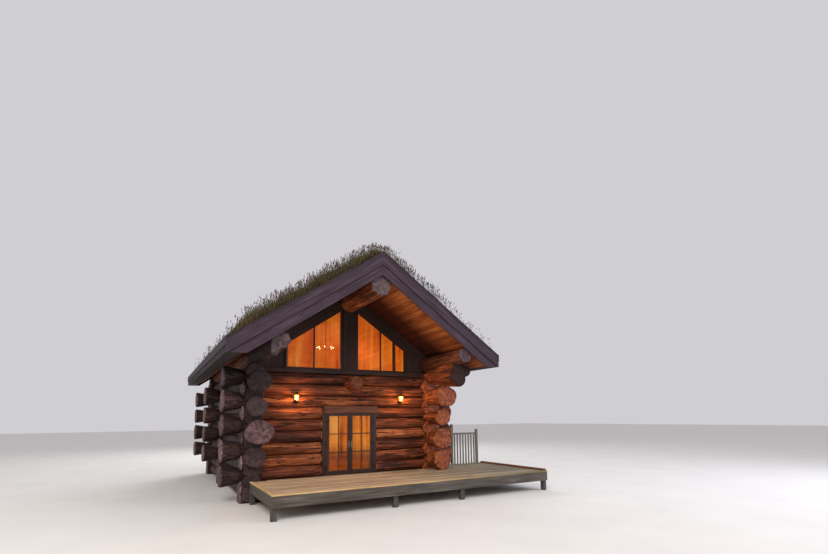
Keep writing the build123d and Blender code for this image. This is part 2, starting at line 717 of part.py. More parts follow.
def roof_layer(bottom_apex, plumb, outer, low_y, high_y):
    """Left and right halves of one roof layer, meeting in a joint under the ridge."""
    halves = []
    for _, sign in SIDES:
        outline = [
            (SCRIBE_GAP, roof_line(bottom_apex, SCRIBE_GAP)),
            (outer, roof_line(bottom_apex, outer)),
            (outer, roof_line(bottom_apex + plumb, outer)),
            (SCRIBE_GAP, roof_line(bottom_apex + plumb, SCRIBE_GAP)),
        ]
        halves.append(upright(mirrored(outline, sign), low_y, high_y))
    return halves


# Roof: ceiling planks, the closed roof build-up over them and the turf
core_bottom_apex = SOFFIT_APEX + PLANK_PLUMB
plank_outer = (core_bottom_apex - EAVE_UNDERSIDE - EAVE_SOFFIT_BOARD) / ROOF_SLOPE - EAVE_BOARD
export(roof_layer(SOFFIT_APEX, PLANK_PLUMB, plank_outer, LAYER_FRONT, LAYER_REAR), "roof_planks")

cores = []
for _, sign in SIDES:
    bottom = core_bottom_apex + SCRIBE_GAP
    floor_z = EAVE_UNDERSIDE + EAVE_SOFFIT_BOARD + SCRIBE_GAP
    outer = EAVE_INNER - SCRIBE_GAP
    outline = [
        (SCRIBE_GAP, roof_line(bottom, SCRIBE_GAP)),
        ((bottom - floor_z) / ROOF_SLOPE, floor_z),
        (outer, floor_z),
        (outer, roof_line(CORE_APEX, outer)),
        (SCRIBE_GAP, roof_line(CORE_APEX, SCRIBE_GAP)),
    ]
    cores.append(upright(mirrored(outline, sign), LAYER_FRONT, LAYER_REAR))
export(cores, "roof_build_up")

eave_boards = []
eave_board_top = roof_line(BARGE_APEX, ROOF_HALF) + EAVE_BOARD_STAND
for _, sign in SIDES:
    outline = [
        (plank_outer + SCRIBE_GAP, EAVE_UNDERSIDE),
        (ROOF_HALF, EAVE_UNDERSIDE),
        (ROOF_HALF, eave_board_top),
        (EAVE_INNER, eave_board_top),
        (EAVE_INNER, EAVE_UNDERSIDE + EAVE_SOFFIT_BOARD),
        (plank_outer + SCRIBE_GAP, EAVE_UNDERSIDE + EAVE_SOFFIT_BOARD),
    ]
    eave_boards.append(upright(mirrored(outline, sign), LAYER_FRONT, LAYER_REAR))
export(eave_boards, "eave_boards")

crown_apex = BARGE_APEX + TURF_CROWN_RISE
turf_outer = EAVE_INNER - SCRIBE_GAP
for name, sign in SIDES:
    stations = (
        (LAYER_REAR, TURF_VERGE_DROP),
        (LAYER_REAR - TURF_VERGE_RUN, 0.0),
        (LAYER_FRONT + TURF_VERGE_RUN, 0.0),
        (LAYER_FRONT, TURF_VERGE_DROP),
    )
    rings = []
    for y, drop in stations:
        outline = [
            (SCRIBE_GAP, roof_line(CORE_APEX + SCRIBE_GAP, SCRIBE_GAP)),
            (turf_outer, roof_line(CORE_APEX + SCRIBE_GAP, turf_outer)),
            (turf_outer, roof_line(BARGE_APEX, turf_outer) - drop),
            (turf_outer - TURF_EAVE_BEVEL, roof_line(crown_apex, turf_outer - TURF_EAVE_BEVEL) - drop),
            (TURF_RIDGE_HALF, roof_line(crown_apex, TURF_RIDGE_HALF) - drop),
            (SCRIBE_GAP, crown_apex - TURF_RIDGE_DROP - drop),
        ]
        rings.append([(x, y, z) for x, z in mirrored(outline, sign)])
    export(flat_sided(rings), f"turf_{name}")


def barge_outline(top_apex, bottom_apex):
    """Sloping verge board, plumb at its outer end and level where its foot is cut."""
    foot = EAVE_UNDERSIDE
    outline = [
        (SCRIBE_GAP / 2, roof_line(top_apex, SCRIBE_GAP / 2)),
        (ROOF_HALF, roof_line(top_apex, ROOF_HALF)),
        (ROOF_HALF, foot),
        ((bottom_apex - foot) / ROOF_SLOPE, foot),
        (SCRIBE_GAP / 2, roof_line(bottom_apex, SCRIBE_GAP / 2)),
    ]
    return outline


# Verge boards at the front and the rear, the upper one standing proud of the lower
upper_bottom = BARGE_APEX - UPPER_BARGE_PLUMB
lower_bottom = upper_bottom - LOWER_BARGE_PLUMB
for end, outer_y, inward in (("front", ROOF_FRONT, 1), ("rear", ROOF_REAR, -1)):
    middle_y = outer_y + inward * BARGE_THICKNESS
    back_y = middle_y + inward * BARGE_THICKNESS
    upper = []
    lower = []
    for _, sign in SIDES:
        low, high = sorted((outer_y, middle_y))
        upper.append(upright(mirrored(barge_outline(BARGE_APEX, upper_bottom), sign), low, high))
        low, high = sorted((middle_y + inward * SCRIBE_GAP, back_y))
        top = upper_bottom + LOWER_BARGE_TUCK
        lower.append(upright(mirrored(barge_outline(top, lower_bottom), sign), low, high))
    export(upper, f"upper_barge_boards_{end}")
    export(lower, f"lower_barge_boards_{end}")

# Deck: boards, frame, feet and kerb
corner_in = SIDE_WALL_X - BUTT_HALF - DECK_NOTCH
right_of_house = SIDE_WALL_X + PLAIN_END_REACH + DECK_NOTCH
notch_front = -PLAIN_END_REACH - DECK_NOTCH
house_back = -FRAME_FRONT - SCRIBE_GAP
deck_outline = [
    (DECK_LEFT, DECK_FRONT),
    (DECK_RIGHT, DECK_FRONT),
    (DECK_RIGHT, DECK_SIDE_BACK),
    (right_of_house, DECK_SIDE_BACK),
    (right_of_house, notch_front),
    (corner_in, notch_front),
    (corner_in, house_back),
    (-corner_in, house_back),
    (-corner_in, notch_front),
    (DECK_LEFT, notch_front),
]
board_bottom = DECK_TOP - DECK_BOARD
export(flat_sided([[(x, y, z) for x, y in deck_outline] for z in (board_bottom, DECK_TOP)]), "deck_boards")

frame_top = board_bottom - SCRIBE_GAP
frame_bottom = frame_top - FASCIA_DEPTH
fascia_back = DECK_FRONT + FASCIA_THICKNESS
deck_frame = box((DECK_LEFT, DECK_FRONT, frame_bottom), (DECK_RIGHT, fascia_back, frame_top))
joist_count = int((DECK_RIGHT - DECK_LEFT) // DECK_JOIST_SPACING)
joist_step = (DECK_RIGHT - DECK_LEFT - FASCIA_THICKNESS) / joist_count
joist_x = [DECK_LEFT + index * joist_step for index in range(joist_count + 1)]
for x in joist_x:
    back = DECK_SIDE_BACK if x > right_of_house else notch_front
    deck_frame += box((x, DECK_FRONT, frame_bottom), (x + FASCIA_THICKNESS, back, frame_top))
deck_frame += box(
    (DECK_LEFT, notch_front - FASCIA_THICKNESS, frame_bottom), (right_of_house, notch_front, frame_top)
)
side_start = max(x for x in joist_x if x <= right_of_house + joist_step)
deck_frame += box(
    (side_start, DECK_SIDE_BACK - FASCIA_THICKNESS, frame_bottom), (DECK_RIGHT, DECK_SIDE_BACK, frame_top)
)
export(deck_frame, "deck_frame")

posts = []
post_half = DECK_POST / 2
post_top = frame_bottom - SCRIBE_GAP
middle_joists = joist_x[3::2][:2]
for x in (DECK_LEFT + post_half, *middle_joists, DECK_RIGHT - post_half):
    for y in (DECK_FRONT + DECK_POST, notch_front - DECK_POST):
        posts.append(box((x - post_half, y - post_half, 0), (x + post_half, y + post_half, post_top)))
export(posts, "deck_posts")

kerb_bottom = DECK_TOP + SCRIBE_GAP
kerb_back = DECK_SIDE_BACK - RAIL_POST - KERB_WIDTH
kerb = box(
    (DECK_RIGHT - KERB_WIDTH, fascia_back, kerb_bottom),
    (DECK_RIGHT, kerb_back, DECK_TOP + KERB_HEIGHT),
)
export(kerb, "deck_kerb")

# Balustrade panel at the back of the deck
rail_back = DECK_SIDE_BACK - (RAIL_POST - RAIL_DEPTH) / 2
rail_front = rail_back - RAIL_DEPTH
rail_base = DECK_TOP + SCRIBE_GAP
rail_top = DECK_TOP + RAIL_HEIGHT
fence = box((RAIL_LEFT, rail_front, rail_top - RAIL_THICKNESS), (RAIL_RIGHT, rail_back, rail_top))
for x, height in zip((RAIL_LEFT, RAIL_RIGHT - RAIL_POST), RAIL_POST_HEIGHTS):
    post_front = DECK_SIDE_BACK - RAIL_POST
    fence += box((x, post_front, rail_base), (x + RAIL_POST, DECK_SIDE_BACK, DECK_TOP + height))
picket_count = int((RAIL_RIGHT - RAIL_LEFT) // PICKET_SPACING)
picket_step = (RAIL_RIGHT - RAIL_LEFT - RAIL_POST) / picket_count
picket_y = (rail_front + rail_back) / 2
for index in range(1, picket_count):
    x = RAIL_LEFT + RAIL_POST / 2 + index * picket_step
    fence += box(
        (x - PICKET_WIDTH / 2, picket_y - RAIL_DEPTH / 4, rail_base),
        (x + PICKET_WIDTH / 2, picket_y + RAIL_DEPTH / 4, rail_top - RAIL_THICKNESS / 2),
    )
export(fence, "balustrade")


def square_ring(x, y, z, width):
    """Square outline lying level."""
    half = width / 2
    corners = ((-half, -half), (half, -half), (half, half), (-half, half))
    return [(x + across, y + back, z) for across, back in corners]


# Wall lanterns on the course above the door head
for name, sign in SIDES:
    width, depth, height = LANTERN_PLATE
    axis = front_axis(LAST_DOOR_COURSE + 1)
    x = sign * LANTERN_X
    plate_back = -LOG_FACE - SCRIBE_GAP
    plate_front = plate_back - depth
    lantern = box(
        (x - width / 2, plate_front, axis - height / 2), (x + width / 2, plate_back, axis + height / 2)
    )
    body_y = plate_front - LANTERN_ARM_REACH
    base = axis + LANTERN_ARM
    lantern += box((x - LANTERN_ARM / 2, body_y, axis), (x + LANTERN_ARM / 2, plate_front, base))
    cap = base + LANTERN_BODY_HEIGHT
    rings = [
        square_ring(x, body_y, base, LANTERN_BASE_WIDTH),
        square_ring(x, body_y, cap, LANTERN_TOP_WIDTH),
        square_ring(x, body_y, cap + LANTERN_CAP_HEIGHT, LANTERN_ARM),
    ]
    lantern += flat_sided(rings)
    export(lantern, f"wall_lantern_{name}")

# Chandelier on a rod under the ridge log, with forged bars out to its candles
rod_top = RIDGE_AXIS - RIDGE_WIDTH / 2 - SCRIBE_GAP
ring_z = SOFFIT_APEX - CHANDELIER_DROP
centre = Pos(0, CHANDELIER_Y, ring_z)
hub = Pos(0, 0, -CHANDELIER_HUB_HEIGHT / 2) * small_round(CHANDELIER_HUB_RADIUS, CHANDELIER_HUB_HEIGHT)
chandelier = centre * (hub + small_round(ROD_RADIUS, rod_top - ring_z))
candle_step = 360 / CANDLE_COUNT
bar_half = CHANDELIER_BAR / 2
for index in range(CANDLE_COUNT):
    bar = box((0, -bar_half, -bar_half), (CHANDELIER_RADIUS, bar_half, bar_half))
    section = RegularPolygon(CANDLE_RADIUS, CANDLE_SIDES)
    candle = Pos(CHANDELIER_RADIUS, 0, -bar_half) * extrude(section, CANDLE_HEIGHT)
    chandelier += centre * Rot(0, 0, (index + 0.5) * candle_step) * (bar + candle)
export(chandelier, "chandelier")
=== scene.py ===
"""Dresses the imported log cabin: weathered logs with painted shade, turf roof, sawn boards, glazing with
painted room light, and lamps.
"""

import math

import bpy
import numpy as np
from mathutils import Matrix, Vector


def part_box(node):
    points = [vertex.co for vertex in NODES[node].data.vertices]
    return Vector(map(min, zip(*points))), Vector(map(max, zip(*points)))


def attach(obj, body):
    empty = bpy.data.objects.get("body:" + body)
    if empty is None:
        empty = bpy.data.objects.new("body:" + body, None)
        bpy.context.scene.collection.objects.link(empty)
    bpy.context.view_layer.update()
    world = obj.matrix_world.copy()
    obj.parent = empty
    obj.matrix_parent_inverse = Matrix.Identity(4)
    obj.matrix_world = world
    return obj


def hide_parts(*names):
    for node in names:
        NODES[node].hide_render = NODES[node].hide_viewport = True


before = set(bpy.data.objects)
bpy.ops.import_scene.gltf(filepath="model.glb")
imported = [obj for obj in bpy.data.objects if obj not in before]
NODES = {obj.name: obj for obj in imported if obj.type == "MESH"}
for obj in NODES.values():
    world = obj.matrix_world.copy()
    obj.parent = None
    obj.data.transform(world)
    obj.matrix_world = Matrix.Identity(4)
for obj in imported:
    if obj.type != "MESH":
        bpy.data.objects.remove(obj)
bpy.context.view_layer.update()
SEED = 2069

# Camera, worked out from the photograph: place in the object's frame, angles and lens
CAMERA_PLACE = Vector((-6.277, -15.902, 2.623))
CAMERA_YAW = math.radians(29.684)
CAMERA_PITCH = math.radians(6.521)
CAMERA_ROLL = math.radians(-0.628)
CAMERA_SENSOR = 36.0
CAMERA_LENS = 20.13
CAMERA_SHIFT_Y = 0.106

# Logs, laid in courses, and the root lobe on the end of the left plate log
SAME_PLACE = 0.002
SAWN_BELOW = 0.02
LOG_SEGMENTS = 40
LOG_STEP = 0.18
BUTT_STEP = 0.06
LOG_COURSE = 0.395
LOG_WIDTH = 0.44
LOG_BODY = (0.452, 0.414)
BUTT_ROUND = 0.045
WALL_X = 3.34
REAR_WALL_Y = 9.4
LEFT_PLATE_BEND = 0.12
LOBE_X = -0.18
LOBE_HALF = 0.105
LOBE_DROP = 0.375

# Swell of a log's end: how far it runs and its share of the width; some are fatter on the right wall
NO_SWELL = (1.0, 0.0)
PLAIN_SWELL = (0.36, 0.30)
RIGHT_SWELL = (0.40, 0.50)
RIGHT_BUTT_GROWTH = 1.16

# Waves on a log: their height, how many go round it and how fast they turn along it
LOG_WAVES = ((0.022, 2, 0.9), (0.018, 3, -1.9), (0.018, 2, 3.7), (0.009, 7, 2.6), (0.005, 11, -1.3))
ROOF_LOG_WAVES = ((0.012, 3, 1.2), (0.008, 5, -1.9))

# Rings of an end face: share of the rim's radius, and how far each stands out
END_RINGS = (
    (1.0, 0.0), (0.985, 0.022), (0.955, 0.038), (0.90, 0.046),
    (0.75, 0.05), (0.55, 0.046), (0.3, 0.05), (0.03, 0.048),
)

# Roof: its slope, heights over the ground and what lies between ceiling and turf
SLOPE = 0.677
SLOPE_LENGTH = math.hypot(1, SLOPE)
SOFFIT_APEX = 7.28
CEILING_GAP = 0.004
PLANKS_UP = 0.036
BUILD_UP = 0.444
TURF_FOOT = 0.0006
TURF_CROWN = 0.07
TURF_RIDGE_HALF = 0.25
TURF_ROUND = 0.15
TURF_GRID = (52, 150)
GRASS_FOOT = 0.012
GRASS_TOP = 8.235
SEED_TOP = 8.245
BLADE_WIDTH = 0.0075
STALK_WIDTH = 0.0045
FRONT_VERGE_SHARE = 0.16
SEED_HEAD_SHARE = 0.10

# Boards: half the gap at a butt joint, and the chamfer of most of them
BOARD_END_GAP = 0.001
EDGE_ROUND = 0.005

# Colours: dark, middle and light of the darkest timber, and ramps for the logs' sides and ends; the grey
# ramps are weathered grey darkened with painted shade
BEAM = ("140b0a", "2c1b16", "49322a")
WARM_SIDE = ((0.28, "1b0a07"), (0.41, "4a2113"), (0.53, "7b3d20"), (0.64, "ab6637"), (0.76, "cf9860"))
GREY_AND_SHADED_SIDE = ((0.28, "0d0809"), (0.42, "1e1515"), (0.54, "342726"), (0.66, "4f3e3e"), (0.78, "71605f"))
WARM_END = ((0.30, "40190b"), (0.47, "79371a"), (0.60, "a1582c"), (0.75, "c58751"))
GREY_AND_SHADED_END = ((0.30, "2a1e22"), (0.47, "534145"), (0.60, "766267"), (0.75, "968085"))
# Painted warm light of the lit room, for the gable and door glass
ORANGE_LIGHT = ((0.34, "b8360a"), (0.46, "ea640f"), (0.56, "fa8a1e"), (0.68, "ffb450"))
AMBER_LIGHT = ((0.36, "9c4010"), (0.45, "d4701c"), (0.55, "ec9434"), (0.66, "f6bb66"))


# Material helpers
def srgb(code):
    """Linear colour of a hex code such as 8a5a3c."""
    values = [int(code[i : i + 2], 16) / 255 for i in (0, 2, 4)]
    return tuple(v / 12.92 if v <= 0.04045 else ((v + 0.055) / 1.055) ** 2.4 for v in values)


class Graph:
    """Small helper that adds shader nodes to one material and links them."""

    def __init__(self, name):
        self.material = bpy.data.materials.new(name)
        self.material.use_nodes = True
        self.tree = self.material.node_tree
        self.shader = self.tree.nodes["Principled BSDF"]

    def put(self, socket, value):
        """Links a socket to another, or gives it a number, a vector or a colour code."""
        if isinstance(value, bpy.types.NodeSocket):
            self.tree.links.new(value, socket)
        else:
            socket.default_value = (*srgb(value), 1.0) if isinstance(value, str) else value

    def add(self, kind, inputs=(), **settings):
        """Node of one kind, with values for its inputs by name or number."""
        node = self.tree.nodes.new(kind)
        for key, value in settings.items():
            setattr(node, key, value)
        for key, value in dict(inputs).items():
            self.put(node.inputs[key], value)
        return node

    def finish(self, **values):
        """Fills the shader's own sockets, named with underscores, and gives the material."""
        for key, value in values.items():
            self.put(self.shader.inputs[key.replace("_", " ").title().replace("Ior", "IOR")], value)
        return self.material

    def attribute(self, name, output="Fac"):
        return self.add("ShaderNodeAttribute", attribute_name=name).outputs[output]

    def position(self):
        return self.add("ShaderNodeTexCoord").outputs["Object"]

    def split(self, vector):
        """The three axes of a vector."""
        return tuple(self.add("ShaderNodeSeparateXYZ", {0: vector}).outputs)

    def join(self, *axes):
        """Vector of three values."""
        return self.add("ShaderNodeCombineXYZ", enumerate(axes)).outputs[0]

    def vector_maths(self, operation, *vectors, output="Vector"):
        return self.add("ShaderNodeVectorMath", enumerate(vectors), operation=operation).outputs[output]

    def scaled(self, vector, *scale):
        return self.add("ShaderNodeMapping", {"Vector": vector, "Scale": scale}).outputs["Vector"]

    def noise(self, vector, scale=1.0, detail=5.0, roughness=0.55, distortion=0.0):
        inputs = {"Vector": vector, "Scale": scale, "Detail": detail, "Roughness": roughness}
        return self.add("ShaderNodeTexNoise", inputs | {"Distortion": distortion}).outputs["Fac"]

    def cells(self, vector):
        """Distance to the nearest of many points strewn about."""
        return self.add("ShaderNodeTexVoronoi", {"Vector": vector, "Scale": 1.0}).outputs["Distance"]

    def maths(self, operation, *values):
        return self.add("ShaderNodeMath", enumerate(values), operation=operation).outputs[0]

    def times(self, first, second):
        return self.maths("MULTIPLY", first, second)

    def plus(self, first, second):
        return self.maths("ADD", first, second)

    def minus(self, first, second):
        return self.maths("SUBTRACT", first, second)

    def weighted(self, *pairs):
        """Sum of values, each times its weight."""
        terms = [self.times(value, weight) for value, weight in pairs]
        total = terms[0]
        for term in terms[1:]:
            total = self.plus(total, term)
        return total

    def shifted(self, value, *shifts, middle=0.5):
        """Value moved by how far others are from their middle, each times its weight."""
        for other, weight in shifts:
            value = self.plus(value, self.times(self.minus(other, middle), weight))
        return value

    def spread(self, value, low, high, to_low=0.0, to_high=1.0):
        """Value between low and high brought to 0 to 1, or to two other numbers."""
        inputs = enumerate((value, low, high, to_low, to_high))
        return self.add("ShaderNodeMapRange", inputs, clamp=True).outputs[0]

    def ramp(self, value, *stops):
        """Colours at places between 0 and 1; the first also holds below its place."""
        node = self.add("ShaderNodeValToRGB", {"Fac": value})
        elements = node.color_ramp.elements
        elements.remove(elements[1])
        elements[0].position = 0.0
        elements[0].color = (*srgb(stops[0][1]), 1.0)
        for place, colour in stops:
            elements.new(place).color = (*srgb(colour), 1.0)
        return node.outputs["Color"]

    def mix(self, amount, first, second, blend="MIX"):
        """One colour over another by an amount."""
        inputs = {0: amount, 6: first, 7: second}
        return self.add("ShaderNodeMix", data_type="RGBA", blend_type=blend, inputs=inputs).outputs[2]

    def bump(self, height, strength, distance):
        inputs = {"Strength": strength, "Distance": distance, "Height": height}
        return self.add("ShaderNodeBump", inputs).outputs["Normal"]


# Mesh helpers
def new_piece(name, points, faces, material, smooth=True, attributes=None, slot=None, replaces=None):
    """Mesh object on the root body, with its material; it can stand for a CAD node."""
    mesh = bpy.data.meshes.new(name)
    mesh.from_pydata(points.tolist(), [], faces)
    mesh.polygons.foreach_set("use_smooth", [smooth] * len(mesh.polygons))
    for key, values in (attributes or {}).items():
        values = np.asarray(values, np.float32)
        kind, field = ("FLOAT_VECTOR", "vector") if values.ndim == 2 else ("FLOAT", "value")
        mesh.attributes.new(key, kind, "POINT").data.foreach_set(field, values.ravel())
    mesh.update()
    piece = bpy.data.objects.new(name, mesh)
    bpy.context.scene.collection.objects.link(piece)
    mesh.materials.append(material)
    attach(piece, "root")
    if replaces:
        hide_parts(replaces)


class Builder:
    """Collects points, faces and point attributes of one piece; a plain one keeps no attributes."""

    def __init__(self, plain=False):
        self.points, self.faces, self.attributes = [], [], {}
        self.count, self.plain = 0, plain

    def add(self, points, faces, **attributes):
        points = np.asarray(points, float)
        self.points.append(points)
        self.faces.extend((np.asarray(faces) + self.count).tolist())
        self.count += len(points)
        for key, values in ({} if self.plain else attributes).items():
            values = np.asarray(values, float)
            if not values.ndim:
                values = np.full(len(points), values)
            self.attributes.setdefault(key, []).append(values)

    def finish(self, name, material, **options):
        attributes = {key: np.concatenate(values) for key, values in self.attributes.items()}
        new_piece(name, np.concatenate(self.points), self.faces, material, attributes=attributes, **options)


def grid_faces(rows, columns, closed=False):
    """Quads between rows of points; closed joins the last column to the first."""
    row = np.arange(rows - 1)[:, None] * columns
    column = np.arange(columns if closed else columns - 1)[None, :]
    following = (column + 1) % columns
    quads = (row + column, row + following, row + columns + following, row + columns + column)
    return np.stack(quads, -1).reshape(-1, 4)


def islands(node):
    """The separate solids of a CAD node, each as an array of its points."""
    mesh = NODES[node].data
    points = np.array([vertex.co for vertex in mesh.vertices])
    places, index = np.unique(np.round(points, 5), axis=0, return_inverse=True)
    ends = index.ravel()[np.array([edge.vertices[:] for edge in mesh.edges])]
    label, spreading = np.arange(len(places)), True
    while spreading:
        before = label.copy()
        np.minimum.at(label, ends[:, 0], label[ends[:, 1]])
        np.minimum.at(label, ends[:, 1], label[ends[:, 0]])
        spreading = (label != before).any()
    return [places[label == group] for group in np.unique(label)]


def ease(value, start, run):
    """Smooth rise from 0 to 1 that begins at start and takes a run."""
    t = np.clip((value - start) / run, 0.0, 1.0)
    return t * t * (3 - 2 * t)


# Logs
def cross_sections(points, axis):
    """Places along a CAD log where it has a ring of corners, each with those corners."""
    for at in np.unique(np.round(points[:, axis], 3)):
        section = points[abs(points[:, axis] - at) < SAME_PLACE]
        if len(section) >= 6:
            yield at, section


def log_facts(points, axis):
    """Ends and centre of a CAD log along axis 0 or 1, and how far and how much each end swells."""
    low, high = points.min(0), points.max(0)
    across = 1 - axis
    stations = [at for at, _ in cross_sections(points, axis)]
    swells = []
    for end, following in ((low[axis], stations[1]), (high[axis], stations[-2])):
        face = points[abs(points[:, axis] - end) < SAME_PLACE]
        growth = np.ptp(face[:, across]) / LOG_WIDTH - 1
        swells.append((abs(following - end), growth) if growth > 0.1 else NO_SWELL)
    centre_z = (high[2] + low[2]) / 2
    if low[2] < SAWN_BELOW:
        centre_z = high[2] - LOG_COURSE / 2
    return low[axis], high[axis], (low[across] + high[across]) / 2, centre_z, *swells


def log_stations(low, high, swells):
    """Places along a log, closer together where it swells."""
    (run_low, grow_low), (run_high, grow_high) = swells
    places = [low]
    while places[-1] < high - 0.02:
        at = places[-1]
        near_low = grow_low and at - low < run_low + 0.05
        near_high = grow_high and high - at < run_high + 0.2
        places.append(min(high, at + (BUTT_STEP if near_low or near_high else LOG_STEP)))
    return np.array(places)


def waves(table, angle, along, phases):
    """Sum of the waves in a table, round a log and along it."""
    total = np.zeros((len(along), len(angle)))
    for (height, turns, pace), phase in zip(table, phases):
        total += height * np.sin(turns * angle[None] + pace * along[:, None] + phase)
    return total


def log_surface(rng, low, high, size, swells, taper, flutes, fullness):
    """Places along and around one round log with fluted, swollen butts."""
    along = log_stations(low, high, swells)
    angle = np.linspace(0, 2 * math.pi, LOG_SEGMENTS, endpoint=False)
    (run_low, grow_low), (run_high, grow_high) = swells
    share_low = np.clip(1 - (along - low) / run_low, 0, 1) * (grow_low > 0)
    share_high = np.clip(1 - (high - along) / run_high, 0, 1) * (grow_high > 0)
    swell = grow_low * share_low**fullness + grow_high * share_high**fullness
    share = np.maximum(share_low, share_high)[:, None] ** 0.8
    phase = rng.uniform(0, 2 * math.pi, 10)
    lobes = rng.integers(4, 7)
    twist = angle[None] + 0.10 * along[:, None]
    flute = abs(np.cos(lobes * twist / 2 + phase[0])) ** 0.8 - 0.7
    flute = flute + 0.30 * np.cos(2 * angle[None] + phase[1]) + 0.22 * np.cos(3 * twist + phase[2])
    radius = 1 + swell[:, None] + flutes * share * flute + waves(LOG_WAVES, angle, along, phase[3:])
    middle = (along - (low + high) / 2) / (high - low)
    radius = radius * (1 + taper * middle[:, None])
    side = 0.5 * size[0] * radius * np.cos(angle) + 0.008 * np.sin(along * 1.1 + phase[8])[:, None]
    up = 0.5 * size[1] * radius * np.sin(angle) + 0.007 * np.sin(along * 1.6 + phase[9])[:, None]
    return along, angle, side, up


def end_face(side, up, angle, row):
    """Rings from the rim to the heart of an end face, with its arris rounded and its heart uneven."""
    shares, depth = np.array(END_RINGS).T[:, :, None]
    uneven = 0.006 * np.sin(angle * 3 + row)[None] * (shares < 0.85) * shares
    return side[row] * shares, up[row] * shares, depth + uneven


def add_skins(builder, axis, along, angle, side, up, centre, centre_z, offset, dress, depth_share=1.0):
    """Adds a log's side and both end faces; dress gives their final points and their attributes."""
    skins = [(along[:, None] + 0 * side, side, up, centre[:, None], centre_z[:, None], 0)]
    for row, sign in ((0, -1), (-1, 1)):
        face_side, face_up, depth = end_face(side, up, angle, row)
        face_along = along[row] + sign * depth_share * depth
        skins.append((face_along, face_side, face_up, centre[row], centre_z[row], sign))
    for run, across, rise, middle, middle_z, sign in skins:
        cap = abs(sign)
        points = np.empty((*run.shape, 3))
        points[..., axis] = run
        points[..., 1 - axis] = middle + across
        points[..., 2] = middle_z + rise
        grain = np.stack([(1 - cap) * run + offset, across, rise], -1).reshape(-1, 3)
        faces = grid_faces(*run.shape, closed=True)
        flat, attributes = dress(points.reshape(-1, 3), cap)
        builder.add(flat, faces[:, ::-1] if sign < 0 else faces, grain=grain, cap=cap, **attributes)


def add_log(
    builder, rng, axis, facts, size=LOG_BODY, taper=0.0, flutes=0.16, fullness=0.55, painted_end_shade=0.0, shape=None
):
    """Adds one wall log, with painted shade and some dirt in the grooves against its neighbours, and painted
    shade on its end faces.
    """
    low, high, centre, centre_z, *swells = facts
    low, high = low + BUTT_ROUND, high - BUTT_ROUND
    along, angle, side, up = log_surface(rng, low, high, size, swells, taper, flutes, fullness)
    tone, offset = rng.uniform(), rng.uniform(0, 60)
    (run_low, grow_low), (run_high, grow_high) = swells
    swollen_low = (grow_low > 0) * (along - low < run_low)
    swollen_high = (grow_high > 0) * (high - along < run_high)
    plain = 1.0 - np.maximum(swollen_low, swollen_high)
    # Painted shade, with some dirt, at the top and bottom of the section where it meets the logs above and
    # below, not on the swollen ends
    groove = ease(abs(np.sin(angle))[None], 0.78, 0.19) * plain[:, None]

    def dress(points, cap):
        if shape is not None:
            points = shape(points)
        points[:, 2] = np.maximum(points[:, 2], 0.0)
        weather = weathering_and_shade(points, axis, centre)
        return points, {"tone": tone, "groove": painted_end_shade if cap else groove.ravel(), "weather": weather}

    middles = np.full(len(along), centre), np.full(len(along), centre_z)
    add_skins(builder, axis, along, angle, side, up, *middles, offset, dress)


def weathering_and_shade(points, axis, centre):
    """How grey a log is, and darkened with painted shade there: warm indoors and on the front, dark grey at
    the left and the rear.
    """
    x, y = points[:, 0], points[:, 1]
    left = 0.95 * ease(-x, 2.95, 0.65)
    if axis == 1 and centre < 0:
        left = np.maximum(left, 0.9 * ease(-y, -0.1, 0.4))
    right_ends = 0.10 * ease(x, 3.0, 0.5)
    right_face = 0.75 * ease(x, WALL_X + 0.02, 0.15) * (y > -0.25)
    rear = 0.85 * ease(y, REAR_WALL_Y, 0.15)
    return np.clip(np.maximum.reduce([left, right_ends, right_face, rear]), 0, 1)


def swollen_ends(facts, axis):
    """Gives the plain ends outside the corners a slight swell, and fattens the right wall's front butts."""
    low, high, centre, centre_z, swell_low, swell_high = facts
    right = axis == 1 and centre > 0
    outer_low, outer_high = (-WALL_X, WALL_X) if axis == 0 else (-0.1, REAR_WALL_Y + 0.1)
    if low < outer_low and not swell_low[1]:
        swell_low = RIGHT_SWELL if right else PLAIN_SWELL
    if high > outer_high and not swell_high[1]:
        swell_high = PLAIN_SWELL
    if right and swell_low[1] > PLAIN_SWELL[1]:
        swell_low = (swell_low[0], swell_low[1] * RIGHT_BUTT_GROWTH)
    return low, high, centre, centre_z, swell_low, swell_high


def log_wall(node, axis, material, seed):
    """Round fluted logs in place of one CAD wall node."""
    rng = np.random.default_rng(SEED + seed)
    builder = Builder()
    right = node == "right_wall"
    for points in sorted(islands(node), key=lambda item: (round(item[:, 2].min(), 3), item[0, 0])):
        size = (LOG_BODY[0] * rng.uniform(0.97, 1.04), LOG_BODY[1] * rng.uniform(0.99, 1.03))
        facts = swollen_ends(log_facts(points, axis), axis)
        # The right wall's long front butts are deeply fluted, like flowers
        flower = right and facts[0] < -2
        flutes = 0.80 if flower else rng.uniform(0.10, 0.20)
        taper = rng.uniform(-0.05, 0.05)
        fullness = 0.45 if right else 0.55
        # Painted shade on the end faces of the left wall's logs that do not reach out to the front, and more
        # on the right wall's flower butts
        painted_end_shade = 1.0 if node == "left_wall" and facts[0] > -1.2 else 0.0
        if flower:
            painted_end_shade = 1.3
        add_log(builder, rng, axis, facts, size, taper, flutes, fullness, painted_end_shade)
    builder.finish(f"{node}_logs", material, slot="wall_logs", replaces=node)


def dressed_to_roof(points):
    """Keeps a log's top under the ceiling planks."""
    roof_under = SOFFIT_APEX - CEILING_GAP - SLOPE * abs(points[:, 0])
    points[:, 2] = np.minimum(points[:, 2], roof_under)
    return points


